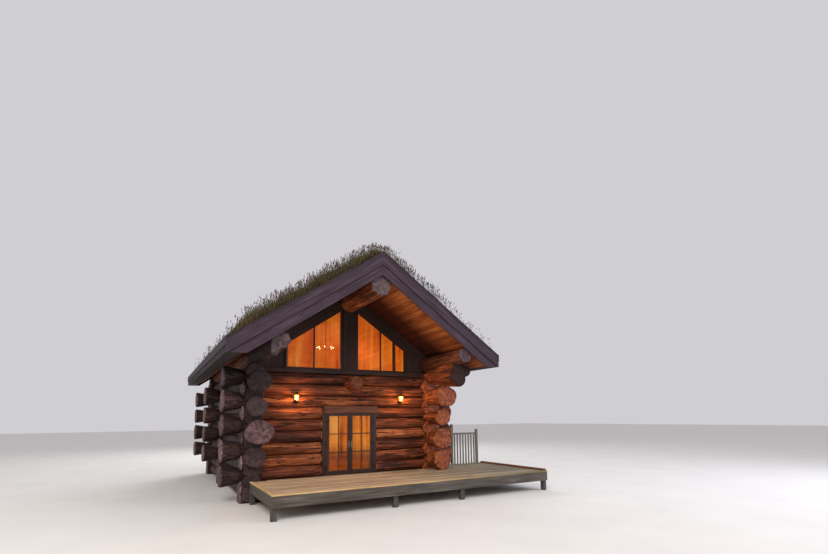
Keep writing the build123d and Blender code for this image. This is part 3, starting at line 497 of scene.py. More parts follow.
def gable_logs(node, material):
    """Rear gable logs, cut off along both slopes."""
    rng = np.random.default_rng(SEED + 90)
    builder = Builder()
    courses = {}
    for points in islands(node):
        courses.setdefault(round(points[:, 2].min() / LOG_COURSE), []).append(points)
    for points in courses.values():
        points = np.concatenate(points)
        low, high = points.min(0), points.max(0)
        half = min(high[0] + 0.1, (SOFFIT_APEX - low[2]) / SLOPE)
        facts = (-half, half, points[:, 1].mean(), low[2] + LOG_COURSE / 2, NO_SWELL, NO_SWELL)
        add_log(builder, rng, 0, facts, shape=dressed_to_roof)
    builder.finish("rear_gable_logs", material, slot="wall_logs", replaces=node)


def log_sections(node):
    """Middle, axis height and half width of a CAD log at each of its stations along the ridge."""
    rows = []
    for y, section in cross_sections(islands(node)[0], 1):
        half = np.ptp(section[:, 0]) / 2
        rows.append((y, section[:, 0].min() + half, section[:, 2].min() + half, half))
    return np.array(rows)


def lobe_reach(angle):
    """Distance from the left plate log's axis to the rim of the root lobe that hangs from its end."""
    out = np.stack([np.cos(angle), np.sin(angle)], -1)
    reach = np.zeros(len(angle))
    for z in np.linspace(-LOBE_DROP, 0.0, 40):
        middle = np.array((LOBE_X, z))
        along = out @ middle
        root = along**2 - middle @ middle + LOBE_HALF**2
        hit = np.where(root > 0, along + np.sqrt(np.maximum(root, 0)), 0)
        reach = np.maximum(reach, hit)
    return reach


def roof_log(node, material, seed):
    """Ridge, plate or girder log: round, fluted at its ends and dressed to the roof."""
    rng = np.random.default_rng(SEED + seed)
    girder, left = node == "girder_log", node == "plate_log_left"
    rows = log_sections("plate_log_right" if left else node)
    if left:
        rows[:, 1] *= -1
    low, high = rows[0, 0] + 0.5 * BUTT_ROUND, rows[-1, 0] - 0.5 * BUTT_ROUND
    along = np.linspace(low, high, int((high - low) / LOG_STEP))
    centre_x, centre_z, half = (np.interp(along, rows[:, 0], rows[:, column]) for column in (1, 2, 3))
    if left:
        # The photograph shows this log's front end a little nearer the ridge than the right one's
        bend = LEFT_PLATE_BEND * np.clip((-0.22 - along) / 2.6, 0, 1)
        centre_x, centre_z = centre_x + bend, centre_z + SLOPE * bend
    angle = np.linspace(0, 2 * math.pi, 96 if left else 64, endpoint=False)
    phase = rng.uniform(0, 2 * math.pi, 8)
    lobes = {"ridge_log": 8, "girder_log": 5}.get(node, 7)
    strength = {"girder_log": 0.09, "plate_log_right": 0.03}.get(node, 0.17)
    flute = abs(np.cos(lobes * angle / 2 + phase[0])) ** 0.8 - 0.8
    near_end = 1 - ease(np.minimum(along - low, high - along), 0, 0.9)
    ripple = waves(ROOF_LOG_WAVES, angle, along, (phase[1], 0.0))
    radius = half[:, None] * (1 + strength * near_end[:, None] * flute + ripple)
    if left:
        greying_and_painted_shade = np.clip(1 - 0.6 * (along - low) / 0.7, 0, 1) * (along - low < 0.7)
        radius = np.maximum(radius, lobe_reach(angle) * greying_and_painted_shade[:, None])
    side, up = radius * np.cos(angle), radius * np.sin(angle)
    tone, offset = rng.uniform(), rng.uniform(0, 50)
    # Painted shade on the end faces, less on the left plate log
    painted_end_shade = 0.3 if left else 0.75

    def dress(points, cap):
        if not girder:
            points = dressed_to_roof(points)
        y = points[:, 1]
        bare = 0.0 if left else 1.2
        front = 0 * y if girder else ease(-y, bare, 0.4 + bare / 2)
        rear = ease(y, REAR_WALL_Y + 0.2, 0.6)
        # Weathered grey darkened with painted shade at the front and rear ends, most on the end faces
        weather = np.clip(np.maximum(front, rear) * (0.35 + 0.65 * cap), 0, 1)
        if left:
            weather = np.maximum(weather, front)
        # Painted shade where the overhang shades it, as on the ceiling
        painted_overhang_shade = ease(y, -2.3, 0.8) * (y < 0.2) * (node == "plate_log_right")
        return points, {"tone": tone, "groove": np.maximum(painted_end_shade * cap, 0.95 * painted_overhang_shade), "weather": weather}

    builder = Builder()
    add_skins(builder, 1, along, angle, side, up, centre_x, centre_z, offset, dress, depth_share=0.5)
    builder.finish(f"{node}_round", material, slot="wall_logs", replaces=node)


# Log material
def end_grain(g, grain):
    """Tone and checks of an end face: rings round the heart, and a few cracks out to the rim."""
    run, across, rise = g.split(grain)
    face = g.join(across, rise, 0.0)
    far = g.vector_maths("LENGTH", face, output="Value")
    warp = g.noise(g.scaled(grain, 1, 6, 6), detail=3)
    rings = g.spread(g.maths("SINE", g.weighted((far, 260), (warp, 22))), -1.0, 1.0)
    direction = g.vector_maths("NORMALIZE", face)
    bent = g.vector_maths("ADD", direction, g.join(0.0, 0.0, g.times(run, 3.7)))
    spokes = g.noise(bent, scale=1.15, detail=2, roughness=0.5)
    patch = g.noise(g.scaled(grain, 1, 9, 9), detail=7, roughness=0.68)
    near = g.maths("ABSOLUTE", g.minus(spokes, 0.5))
    width = g.times(g.times(far, patch), 0.05)
    edge = g.spread(g.minus(near, width), 0.003, -0.003)
    split = g.times(edge, g.spread(far, 0.03, 0.10))
    return g.weighted((rings, 0.14), (patch, 0.70), (spokes, 0.16)), split


def log_material():
    """Round logs with long grain, drying checks, knots, painted shade and dirt in the grooves, and their own
    end faces.
    """
    g = Graph("log_wood")
    grain = g.attribute("grain", "Vector")
    tone, cap, weather, groove = (g.attribute(name) for name in ("tone", "cap", "weather", "groove"))
    streak = g.noise(g.scaled(grain, 0.7, 15, 15), detail=8, roughness=0.66, distortion=0.4)
    fine = g.noise(g.scaled(grain, 2.5, 60, 60), detail=6, roughness=0.7)
    patch = g.noise(g.scaled(grain, 0.9, 2.4, 2.4), detail=5, roughness=0.6)
    both = g.weighted((streak, 0.70), (fine, 0.30))
    tinted = g.shifted(both, (tone, 0.14), (patch, 0.30))
    # Weathered grey darkened with painted shade at the left and rear; warm indoors and on the front
    colour = g.mix(weather, g.ramp(tinted, *WARM_SIDE), g.ramp(tinted, *GREY_AND_SHADED_SIDE))
    colour = g.mix(g.times(g.spread(patch, 0.50, 0.30), 0.55), colour, "1f100b")
    # Long drying checks
    check_line = g.noise(g.scaled(grain, 0.45, 6.5, 6.5), detail=3, roughness=0.5, distortion=0.7)
    near = g.maths("ABSOLUTE", g.minus(check_line, 0.5))
    check = g.times(g.spread(near, 0.020, 0.006), g.spread(patch, 0.36, 0.47))
    colour = g.mix(check, colour, "0c0604")
    knot = g.spread(g.cells(g.scaled(grain, 0.9, 2.4, 2.4)), 0.13, 0.05)
    colour = g.mix(g.times(knot, 0.8), colour, "210e08")
    # End faces, whose grey tone also differs from log to log
    end_tone, split = end_grain(g, grain)
    end_warm = g.ramp(end_tone, *WARM_END)
    end_tone = g.shifted(end_tone, (tone, 0.22), middle=0.55)
    # End faces weathered grey and darkened with painted shade where the mask says
    end_colour = g.mix(weather, end_warm, g.ramp(end_tone, *GREY_AND_SHADED_END))
    end_colour = g.mix(g.times(split, 0.75), end_colour, "1a1210")
    colour = g.mix(cap, colour, end_colour)
    # Painted shade: in the grooves between logs with some dirt, on end faces and under the front overhang
    colour = g.mix(g.times(groove, 0.72), colour, "120805")
    height = g.minus(g.plus(both, g.times(knot, 0.3)), g.times(check, 0.9))
    face_height = g.minus(g.times(end_tone, 0.5), g.times(split, 0.6))
    chosen = g.plus(g.times(height, g.minus(1.0, cap)), g.times(face_height, cap))
    rough = g.spread(fine, 0.3, 0.7, 0.6, 0.85)
    normal = g.bump(chosen, 0.75, 0.022)
    return g.finish(base_color=colour, specular_ior_level=0.28, roughness=rough, normal=normal)


# Sawn boards: a corner of the section each, and how its chamfer moves it
CHAMFER_SECTION = (
    (-1, -1, 1, 0), (-1, -1, 0, 1), (-1, 1, 0, -1), (-1, 1, 1, 0),
    (1, 1, -1, 0), (1, 1, 0, -1), (1, -1, 0, 1), (1, -1, -1, 0),
)


def add_board(builder, rng, start, end, across, width, thickness, chamfer=0.004, stations=2, bow=0.0):
    """Board with chamfered arrises between the middles of its ends."""
    start, end, across = (np.array(v, float) for v in (start, end, across))
    length = np.linalg.norm(end - start)
    run = (end - start) / length
    across = across / np.linalg.norm(across)
    shares = np.linspace(0, 1, stations)
    bend = bow * np.sin(shares * math.pi * rng.integers(1, 4)) * rng.uniform(-1, 1)
    offset, tone = rng.uniform(0, 60), rng.uniform()
    corners = np.array(CHAMFER_SECTION)
    along = (shares * length)[:, None]
    u = (corners[:, 0] * width / 2 + corners[:, 2] * chamfer)[None]
    v = (corners[:, 1] * thickness / 2 + corners[:, 3] * chamfer)[None]
    points = start + along[..., None] * run + u[..., None] * across
    points = points + (v + bend[:, None])[..., None] * np.cross(run, across)
    grain = np.stack(np.broadcast_arrays(along + offset, u, v), -1)
    faces = grid_faces(stations, len(corners), closed=True)
    builder.add(points.reshape(-1, 3), faces, grain=grain.reshape(-1, 3), tone=tone)
    for row, step in ((0, -1), (-1, 1)):
        face = [list(range(len(corners)))]
        builder.add(points[row][::step], face, grain=grain[row][::step], tone=tone)


def add_planks(builder, rng, cuts, axis, middle, across, width, thickness, chamfer=EDGE_ROUND):
    """Planks end to end along an axis through a middle, with a fine gap at each cut between them."""
    for first, last in zip(cuts, cuts[1:]):
        start, end = np.array(middle, float), np.array(middle, float)
        start[axis], end[axis] = first + BOARD_END_GAP, last - BOARD_END_GAP
        add_board(builder, rng, start, end, across, width, thickness, chamfer)


def board_material(name, colours, wear=0.25, rough=(0.6, 0.85), vector=None, tones=0.2, greying_and_painted_shade=None):
    """Sawn, weathered timber, with a tint multiplied in by place (greying on the deck, painted shade on the
    ceiling); vector gives the grain of a CAD node, and new boards bring their own.
    """
    g = Graph(name)
    grain = vector(g) if vector else g.attribute("grain", "Vector")
    streak = g.noise(g.scaled(grain, 0.9, 16, 16), detail=7, roughness=0.62, distortion=0.35)
    fine = g.noise(g.scaled(grain, 5, 130, 130), detail=5, roughness=0.7)
    patch = g.noise(g.scaled(grain, 1.1, 2.5, 2.5), detail=4)
    both = g.weighted((streak, 0.68), (fine, 0.32))
    tinted = both if vector else g.shifted(both, (g.attribute("tone"), tones))
    dark, middle, light = colours
    colour = g.ramp(tinted, (0.3, dark), (0.5, middle), (0.7, light))
    colour = g.mix(g.times(g.spread(patch, 0.5, 0.75), wear), colour, dark)
    knot = g.spread(g.cells(g.scaled(grain, 1.1, 4.0, 4.0)), 0.11, 0.04)
    colour = g.mix(g.times(knot, 0.75), colour, dark)
    # Tint by place: greying on the deck, painted shade on the ceiling
    if greying_and_painted_shade:
        tint, amount = greying_and_painted_shade
        colour = g.mix(amount(g), colour, tint, blend="MULTIPLY")
    rough, normal = g.spread(fine, 0.3, 0.7, *rough), g.bump(both, 0.35, 0.01)
    return g.finish(base_color=colour, specular_ior_level=0.3, roughness=rough, normal=normal)


def towards_right(g):
    """How far right a place is: nothing at the doors and all at the right end of the deck."""
    return g.spread(g.split(g.position())[0], 1.0, 5.0)


def overhang_shade_share(g):
    """How much painted shade a place under the overhang gets: all at the front gable, nothing near the verge
    or indoors.
    """
    y = g.split(g.position())[1]
    return g.times(g.spread(y, -2.3, -1.1), g.spread(y, 0.25, 0.15))


def grain_along(order):
    """Grain along the first axis of an order such as YXZ, read from the place on the object."""

    def grain(g):
        axes = g.split(g.position())
        return g.join(*(axes["XYZ".index(axis)] for axis in order))

    return grain


def grain_down_slope(g):
    """Grain that runs down both slopes of the roof."""
    x, y, z = g.split(g.position())
    x = g.maths("ABSOLUTE", x)
    down = g.minus(g.times(x, 1 / SLOPE_LENGTH), g.times(z, SLOPE / SLOPE_LENGTH))
    across = g.weighted((x, SLOPE / SLOPE_LENGTH), (z, 1 / SLOPE_LENGTH))
    return g.join(down, across, y)


def dress_node(node, material, width):
    """CAD node kept as it is, with its material and arrises eased by a width."""
    piece = NODES[node]
    piece.data.materials.clear()
    piece.data.materials.append(material)
    if width:
        weld = piece.modifiers.new("weld", "WELD")
        weld.merge_threshold = 0.00005
        bevel = piece.modifiers.new("bevel", "BEVEL")
        bevel.width = width
        bevel.segments = 2
        bevel.limit_method = "ANGLE"
        bevel.angle_limit = math.radians(35)
        bevel.harden_normals = False


def dress_timber(name, colours, vector, nodes, **options):
    """Gives CAD nodes one sawn timber; each node comes with the width of its eased arrises."""
    material = board_material(name, colours, vector=vector, **options)
    for node, width in nodes.items():
        dress_node(node, material, width)


# Roof
def ceiling(material):
    """Ceiling planks along the ridge, in place of the two plain plank layers."""
    rng = np.random.default_rng(SEED + 11)
    low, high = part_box("roof_planks")
    builder = Builder()
    thickness, step, gap = 0.034, 0.165, 0.004
    reach = high.x * SLOPE_LENGTH
    count = int(reach / step)
    width = reach / count
    for sign in (-1, 1):
        down = np.array((sign, 0, -SLOPE)) / SLOPE_LENGTH
        normal = np.array((sign * SLOPE, 0, 1)) / SLOPE_LENGTH
        for index in range(count):
            middle = down * (index + 0.5) * width + normal * (thickness / 2 + rng.uniform(0, 0.002))
            middle = middle + np.array((0, 0, SOFFIT_APEX))
            cuts = (low.y - BOARD_END_GAP, rng.uniform(low.y + 3, high.y - 3), high.y + BOARD_END_GAP)
            add_planks(builder, rng, cuts, 1, middle, down, width - gap, thickness)
    builder.finish("ceiling_boards", material, smooth=False, slot="ceiling_planks", replaces="roof_planks")


def roof_trims(cap_material, turf_board_material):
    """Cap and rebate strip along the verge boards, and the board that holds the turf at each eave."""
    rng = np.random.default_rng(SEED + 13)
    front_low, front_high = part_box("upper_barge_boards_front")
    rear_low, rear_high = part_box("upper_barge_boards_rear")
    eave_low, eave_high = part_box("eave_boards")
    caps, boards = Builder(), Builder()
    half, top = front_high.x, front_high.z
    cap_rise, cap_past, rebate_drop, rebate_out = 0.012, 0.01, 0.075, 0.006
    turf_board_out, turf_board_drop, turf_board_past = 0.014, 0.115, 0.085

    def verge_board(sign, y, rise, reach, across, *section):
        """Board down one slope from the ridge, a little over or under the top of the verge boards."""
        start, end = (0.0, y, top + rise), (sign * reach, y, top + rise - SLOPE * reach)
        add_board(caps, rng, start, end, across, *section)

    for sign in (-1, 1):
        for near, far, side in ((front_high, front_low, -1), (rear_low, rear_high, 1)):
            middle, face = (near.y + far.y) / 2, far.y + side * rebate_out
            verge_board(sign, middle, cap_rise, half + cap_past, (0, 1, 0), 0.085, 0.026, 0.004)
            verge_board(sign, face, -rebate_drop, half, (0, side, 0), 0.014, 0.016, 0.003)
        x, z = sign * (half + turf_board_out), eave_high.z - turf_board_drop
        start, end = (x, eave_low.y - turf_board_past, z), (x, eave_high.y + turf_board_past, z)
        add_board(boards, rng, start, end, (0, 0, 1), 0.25, 0.028, EDGE_ROUND, stations=8, bow=0.006)
    caps.finish("barge_caps", cap_material, smooth=False, slot="barge_boards")
    boards.finish("eave_turf_boards", turf_board_material, smooth=False, slot="barge_boards")


class Slope:
    """One slope of the turf: its box, its reach from the ridge and the height of its surface."""

    def __init__(self, side):
        self.side, self.sign = side, -1 if side == "left" else 1
        self.low, self.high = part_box(f"turf_{side}")
        self.reach = max(self.high.x, -self.low.x)

    def surface(self, x, y):
        """Height at distances from the ridge and along it: gentle hummocks, rounded off at the edges."""
        across = x * self.sign
        z = self.high.z + TURF_CROWN - SLOPE * np.maximum(x, TURF_RIDGE_HALF)
        z = z + 0.020 * np.sin(2.3 * across + 1.1 * y) + 0.018 * np.sin(-3.1 * across + 1.9 * y + 1.0)
        z = z + 0.012 * np.sin(6.1 * across - 4.3 * y + 2.0) + 0.010 * np.sin(9.7 * across + 7.9 * y)
        z = np.minimum(z, self.high.z)
        verge = np.minimum(y - self.low.y, self.high.y - y)
        for distance, run in ((verge, 0.35), (self.reach - x, 0.30)):
            z = z - TURF_ROUND * (1 - ease(distance, 0, run)) ** 1.5
        return z


def turf(slope, material):
    """Hummocky turf over one slope, with skirts down to the roof at its verges and its eave."""
    x = np.linspace(0.0, slope.reach, TURF_GRID[0])
    y = np.linspace(slope.low.y, slope.high.y, TURF_GRID[1])
    grid_x, grid_y = np.meshgrid(x, y)
    points = np.stack([grid_x * slope.sign, grid_y, slope.surface(grid_x, grid_y)], -1)
    faces = grid_faces(len(y), len(x))
    builder = Builder()
    builder.add(points.reshape(-1, 3), faces if slope.sign > 0 else faces[:, ::-1])
    for upper in (points[0], points[-1], points[:, -1]):
        lower = upper.copy()
        lower[:, 2] = SOFFIT_APEX + PLANKS_UP + BUILD_UP + TURF_FOOT - SLOPE * abs(upper[:, 0])
        builder.add(np.concatenate([upper, lower]), grid_faces(2, len(upper)))
    builder.finish(f"turf_{slope.side}_ground", material, slot="turf", replaces=f"turf_{slope.side}")


def meadow(slope, blade_material, head_material, density, tall):
    """Blades of grass, shorter towards the eave, and stalks with seed heads, which are fewer there."""
    rng = np.random.default_rng(SEED + 20 + (slope.sign > 0))
    low_y, high_y = slope.low.y + 0.01, slope.high.y - 0.01
    count = int(density * slope.reach * (slope.high.y - slope.low.y))
    x, y = rng.uniform(0.0, slope.reach, count), rng.uniform(low_y, high_y, count)
    # Some of the grass is moved to the front verge
    near = rng.uniform(size=count) < FRONT_VERGE_SHARE
    y[near] = low_y + rng.uniform(0, 0.35, near.sum())
    z = slope.surface(x, y) - GRASS_FOOT
    clump = 0.5 + 0.5 * np.sin(x * 3.7 + y * 1.3) * np.sin(y * 4.1 - x * 2.2)
    length = rng.uniform(0.12, 0.30, count) * (0.7 + 0.6 * clump) * tall
    fall = 0.65 if slope.sign > 0 else 0.15
    length = length * (1 - fall * ease(x, 0, slope.reach)) * (1 - 0.6 * ease(x, slope.reach - 0.6, 0.5))
    length = np.minimum(length, GRASS_TOP - z)
    turn, lean = rng.uniform(0, 2 * math.pi, count), rng.uniform(0.1, 0.8, count)
    tone = np.clip(rng.normal(0.5, 0.22, count) + 0.3 * (clump - 0.5), 0, 1)
    base = np.stack([x * slope.sign, y, z], -1)
    grass(f"grass_{slope.side}", base, length, turn, lean, tone, blade_material)
    thinning = ease(x, slope.reach - 0.9, 0.7)
    if slope.sign > 0:
        thinning = ease(x / slope.reach, 0.15, 0.75)
    chance = 1 - 0.9 * thinning
    stalks = int(count * SEED_HEAD_SHARE)
    base = base[rng.choice(count, stalks, replace=False, p=chance / chance.sum())]
    length = np.minimum(rng.uniform(0.26, 0.55, stalks), SEED_TOP - base[:, 2])
    turn, lean = rng.uniform(0, 2 * math.pi, stalks), rng.uniform(0.0, 0.35, stalks)
    tone = rng.uniform(size=stalks)
    seed_stalks(f"seed_heads_{slope.side}", base, length, turn, lean, tone, head_material)


def strands(name, base, length, turn, lean, tone, material, corners, pattern):
    """Many like strands that lean and droop; a corner is a share of the length, two shifts and a shade."""
    sideways = np.stack([-np.sin(turn), np.cos(turn), 0 * turn], -1)
    forward = np.stack([np.cos(turn), np.sin(turn), 0 * turn], -1)
    upright = np.array((0.0, 0.0, 1.0))
    layers = []
    for share, across, ahead, _ in corners:
        out = (lean * length * share**1.8 + ahead)[:, None]
        rise = (length * (share - 0.35 * lean * share**2))[:, None]
        layers.append(base + forward * out + upright * rise + sideways * across)
    first = np.arange(len(base))[:, None] * len(corners)
    faces = []
    for face in pattern:
        faces.extend((first + np.array(face)).tolist())
    shades = np.tile([corner[3] for corner in corners], len(base))
    attributes = {"tone": np.repeat(tone, len(corners)), "share": shades}
    points = np.stack(layers, 1).reshape(-1, 3)
    new_piece(name, points, faces, material, attributes=attributes, slot="turf")


def grass(name, base, length, turn, lean, tone, material):
    """Blades of two quads and a pointed tip each."""
    corners = []
    for share, spread in ((0.0, 1.0), (0.45, 0.85), (0.8, 0.5)):
        for side in (-0.5, 0.5):
            corners.append((share, side * spread * BLADE_WIDTH, 0.0, share))
    corners.append((1.0, 0.0, 0.0, 1.0))
    pattern = ([0, 1, 3, 2], [2, 3, 5, 4], [4, 5, 6])
    strands(name, base, length, turn, lean, tone, material, corners, pattern)


def seed_stalks(name, base, length, turn, lean, tone, material):
    """Thin stalks with a spindle for a seed head, of three levels of four corners."""
    corners = [(share, side * STALK_WIDTH, 0.0, 0.0) for share in (0.0, 0.5, 0.85) for side in (-0.5, 0.5)]
    stalk = [[0, 1, 3, 2], [2, 3, 5, 4]]
    head = (grid_faces(3, 4, closed=True) + len(corners)).tolist()
    for share, radius in ((0.78, 0.003), (0.88, 0.011), (1.0, 0.002)):
        for across, ahead in ((1, 0), (0, 1), (-1, 0), (0, -1)):
            corners.append((share, across * radius, ahead * radius, 1.0))
    strands(name, base, length, turn, lean, tone, material, corners, stalk + head)


def turf_material():
    """Dark soil and moss under the grass."""
    g = Graph("turf_ground")
    coarse = g.noise(g.position(), scale=2.2, detail=8, roughness=0.65)
    fine = g.noise(g.position(), scale=30, detail=6, roughness=0.7)
    both = g.weighted((coarse, 0.6), (fine, 0.4))
    colour = g.ramp(both, (0.32, "13120a"), (0.45, "282b16"), (0.56, "404222"), (0.7, "5e5232"))
    normal = g.bump(both, 1.0, 0.06)
    return g.finish(base_color=colour, roughness=0.95, specular_ior_level=0.15, normal=normal)


def blade_material(name, root, middle, tip, dry):
    """Grass or seed heads from root to tip, some of them dry."""
    g = Graph(name)
    green = g.ramp(g.attribute("share"), (0.0, root), (0.45, middle), (1.0, tip))
    patch = g.noise(g.position(), scale=1.1, detail=3)
    amount = g.spread(g.plus(g.attribute("tone"), g.times(patch, 0.8)), 0.75, 1.15)
    normal = g.bump(g.noise(g.position(), scale=400), 0.1, 0.001)
    colour = g.mix(amount, green, dry)
    return g.finish(base_color=colour, roughness=0.7, specular_ior_level=0.25, normal=normal)


# Deck, floor and lintel
def deck_boards(material, edge_material):
    """Boards along the front, notched round the corner logs, with paler ones at two edges."""
    rng = np.random.default_rng(SEED + 31)
    places = np.array([vertex.co for vertex in NODES["deck_boards"].data.vertices])
    left, inner_left, inner_right, right_side, right = np.unique(np.round(places[:, 0], 3))
    front, notch, house, back = np.unique(np.round(places[:, 1], 3))
    top, bottom = places[:, 2].max(), places[:, 2].min()
    middle_z, thickness = (top + bottom) / 2, top - bottom
    step, gap, border, border_out, border_up, longest = 0.146, 0.012, 0.10, 0.008, 0.001, 5
    builder, edges = Builder(), Builder()
    y = front + border
    while y < back - 0.02:
        low, high = y, min(y + step - gap, back)
        spans = [(right_side, right)]
        if high <= notch + 0.03:
            spans = [(left + border, right)]
        elif high <= house + 0.01:
            spans = [(inner_left, inner_right), (right_side, right)]
        for first, last in spans:
            cuts = [first, last]
            if last - first > longest:
                cuts.insert(1, first + (last - first) * rng.uniform(0.3, 0.7))
            for ends in zip(cuts, cuts[1:]):
                middle = (0, (low + high) / 2, middle_z - rng.uniform(0, 0.003))
                add_planks(builder, rng, ends, 0, middle, (0, 1, 0), high - low, thickness)
        y += step
    z, inset = middle_z + border_up, border / 2 - border_out
    for start, end, across, width in (
        ((left - border_out, front + inset, z), (right, front + inset, z), (0, 1, 0), border),
        ((left + inset, front + border, z), (left + inset, notch, z), (1, 0, 0), border - 0.004),
    ):
        add_board(edges, rng, start, end, across, width, thickness + 2 * border_up, 0.008)
    builder.finish("deck_planking", material, smooth=False, slot="deck_timber", replaces="deck_boards")
    edges.finish("deck_border", edge_material, smooth=False, slot="deck_timber")


def floor_planks(material):
    """Planks over the room's floor along the ridge, with staggered butt joints."""
    rng = np.random.default_rng(SEED + 61)
    low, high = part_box("floor")
    builder = Builder()
    thickness, step, gap, proud, shortest = 0.012, 0.137, 0.003, 0.002, 0.6
    count = int((high.x - low.x) / step)
    width = (high.x - low.x) / count
    z = high.z + proud - thickness / 2
    for index in range(count):
        x = low.x + (index + 0.5) * width
        first = low.y
        while first < high.y:
            last = first + rng.uniform(1.8, 3.4)
            if high.y - last < shortest:
                last = high.y
            add_planks(builder, rng, (first, last), 1, (x, 0, z), (1, 0, 0), width - gap, thickness, 0.002)
            first = last
    builder.finish("floor_planks", material, smooth=False, slot="floor_boards")


def door_lintel(material):
    """Heavy board over the doors, in front of their frame and clear of the leaves."""
    rng = np.random.default_rng(SEED + 51)
    left, right, z, height, thickness = -0.96, 1.08, 2.93, 0.248, 0.026
    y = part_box("door_frame")[0].y - thickness / 2
    builder = Builder()
    start, end = (left, y, z), (right, y, z)
    add_board(builder, rng, start, end, (0, 0, 1), height, thickness, 0.006, stations=6, bow=0.003)
    builder.finish("door_lintel", material, smooth=False, slot="dark_joinery")


# Tubes and lathes
def add_tube(builder, line, radius, sides=10):
    """Tube of one radius along a line of points."""
    line = np.array(line, float)
    tangent = np.gradient(line, axis=0)
    tangent /= np.linalg.norm(tangent, axis=1)[:, None]
    helper = np.array((0.0, 0.0, 1.0)) if abs(tangent[0][2]) < 0.9 else np.array((1.0, 0.0, 0.0))
    angle = np.linspace(0, 2 * math.pi, sides, endpoint=False)[:, None]
    rings = []
    for place, direction in zip(line, tangent):
        side = np.cross(direction, helper)
        side /= np.linalg.norm(side)
        helper = np.cross(side, direction)
        rings.append(place + radius * (np.cos(angle) * side + np.sin(angle) * helper))
    builder.add(np.concatenate(rings), grid_faces(len(line), sides, closed=True))
    for ring in (rings[0][::-1], rings[-1]):
        builder.add(ring, [list(range(sides))])


def add_lathe(builder, centre, profile, sides=16):
    """Turned form round an upright axis, from (radius, height) pairs."""
    angle = np.linspace(0, 2 * math.pi, sides, endpoint=False)
    circle = np.stack([np.cos(angle), np.sin(angle), 0 * angle], -1)
    rings = [circle * radius + np.array((0.0, 0.0, height)) for radius, height in profile]
    builder.add(np.concatenate(rings) + np.array(centre), grid_faces(len(profile), sides, closed=True))


# Metal, glass and lamps
def metal_material(name, colour, dark, metallic=0.85, rough=(0.35, 0.6)):
    """Blotched metal, a little rough."""
    g = Graph(name)
    blotch = g.noise(g.position(), scale=14, detail=6, roughness=0.65)
    fine = g.noise(g.position(), scale=160, detail=4)
    tint = g.mix(g.spread(blotch, 0.35, 0.7), dark, colour)
    rough, normal = g.spread(blotch, 0.3, 0.7, *rough), g.bump(g.plus(blotch, fine), 0.25, 0.002)
    return g.finish(base_color=tint, metallic=metallic, roughness=rough, normal=normal)


def glowing_glass(name, stops, painted_shade_from=None):
    """Window glass with the warm light of the room behind it painted in and glowing by itself, with painted
    shade near the floor when asked.
    """
    g = Graph(name)
    place = g.position()
    cloud = g.noise(g.scaled(place, 1.6, 1.6, 0.55), detail=3)
    stripe = g.noise(g.scaled(place, 9.0, 9.0, 0.3), detail=2)
    colour = g.ramp(g.weighted((cloud, 0.5), (stripe, 0.5)), *stops)
    # Painted shade, darker towards the room's floor
    if painted_shade_from:
        low = g.plus(g.split(place)[2], g.times(stripe, 0.5))
        shade = g.spread(low, painted_shade_from + 0.45, painted_shade_from - 0.05, 0.0, 0.85)
        colour = g.mix(shade, colour, "744830", blend="MULTIPLY")
    normal = g.bump(g.noise(place, scale=3.0, detail=2), 0.04, 0.01)
    # Painted light: the glass glows with the room's warm light, though it is no lamp
    glow = {"emission_color": colour, "emission_strength": 0.50}
    return g.finish(base_color=colour, roughness=0.06, alpha=0.27, normal=normal, **glow)


def lamp_material(name, colour, light, strength, alpha=1.0):
    """Flame or lantern glass that glows by itself."""
    g = Graph(name)
    shade = g.noise(g.position(), scale=40, detail=2)
    tint = g.mix(g.spread(shade, 0.3, 0.7), colour, light)
    glow = {"emission_color": tint, "emission_strength": strength}
    return g.finish(base_color=tint, roughness=0.4, alpha=alpha, **glow)


def wax_material():
    """Pale candle wax."""
    g = Graph("candle_wax")
    tone = g.noise(g.position(), scale=60, detail=3)
    return g.finish(base_color=g.mix(g.spread(tone, 0.3, 0.7), "e9dfc8", "f6f0e0"), roughness=0.55)


# Signs of the four corners of a lantern's section
CORNERS = ((-1, -1), (1, -1), (1, 1), (-1, 1))


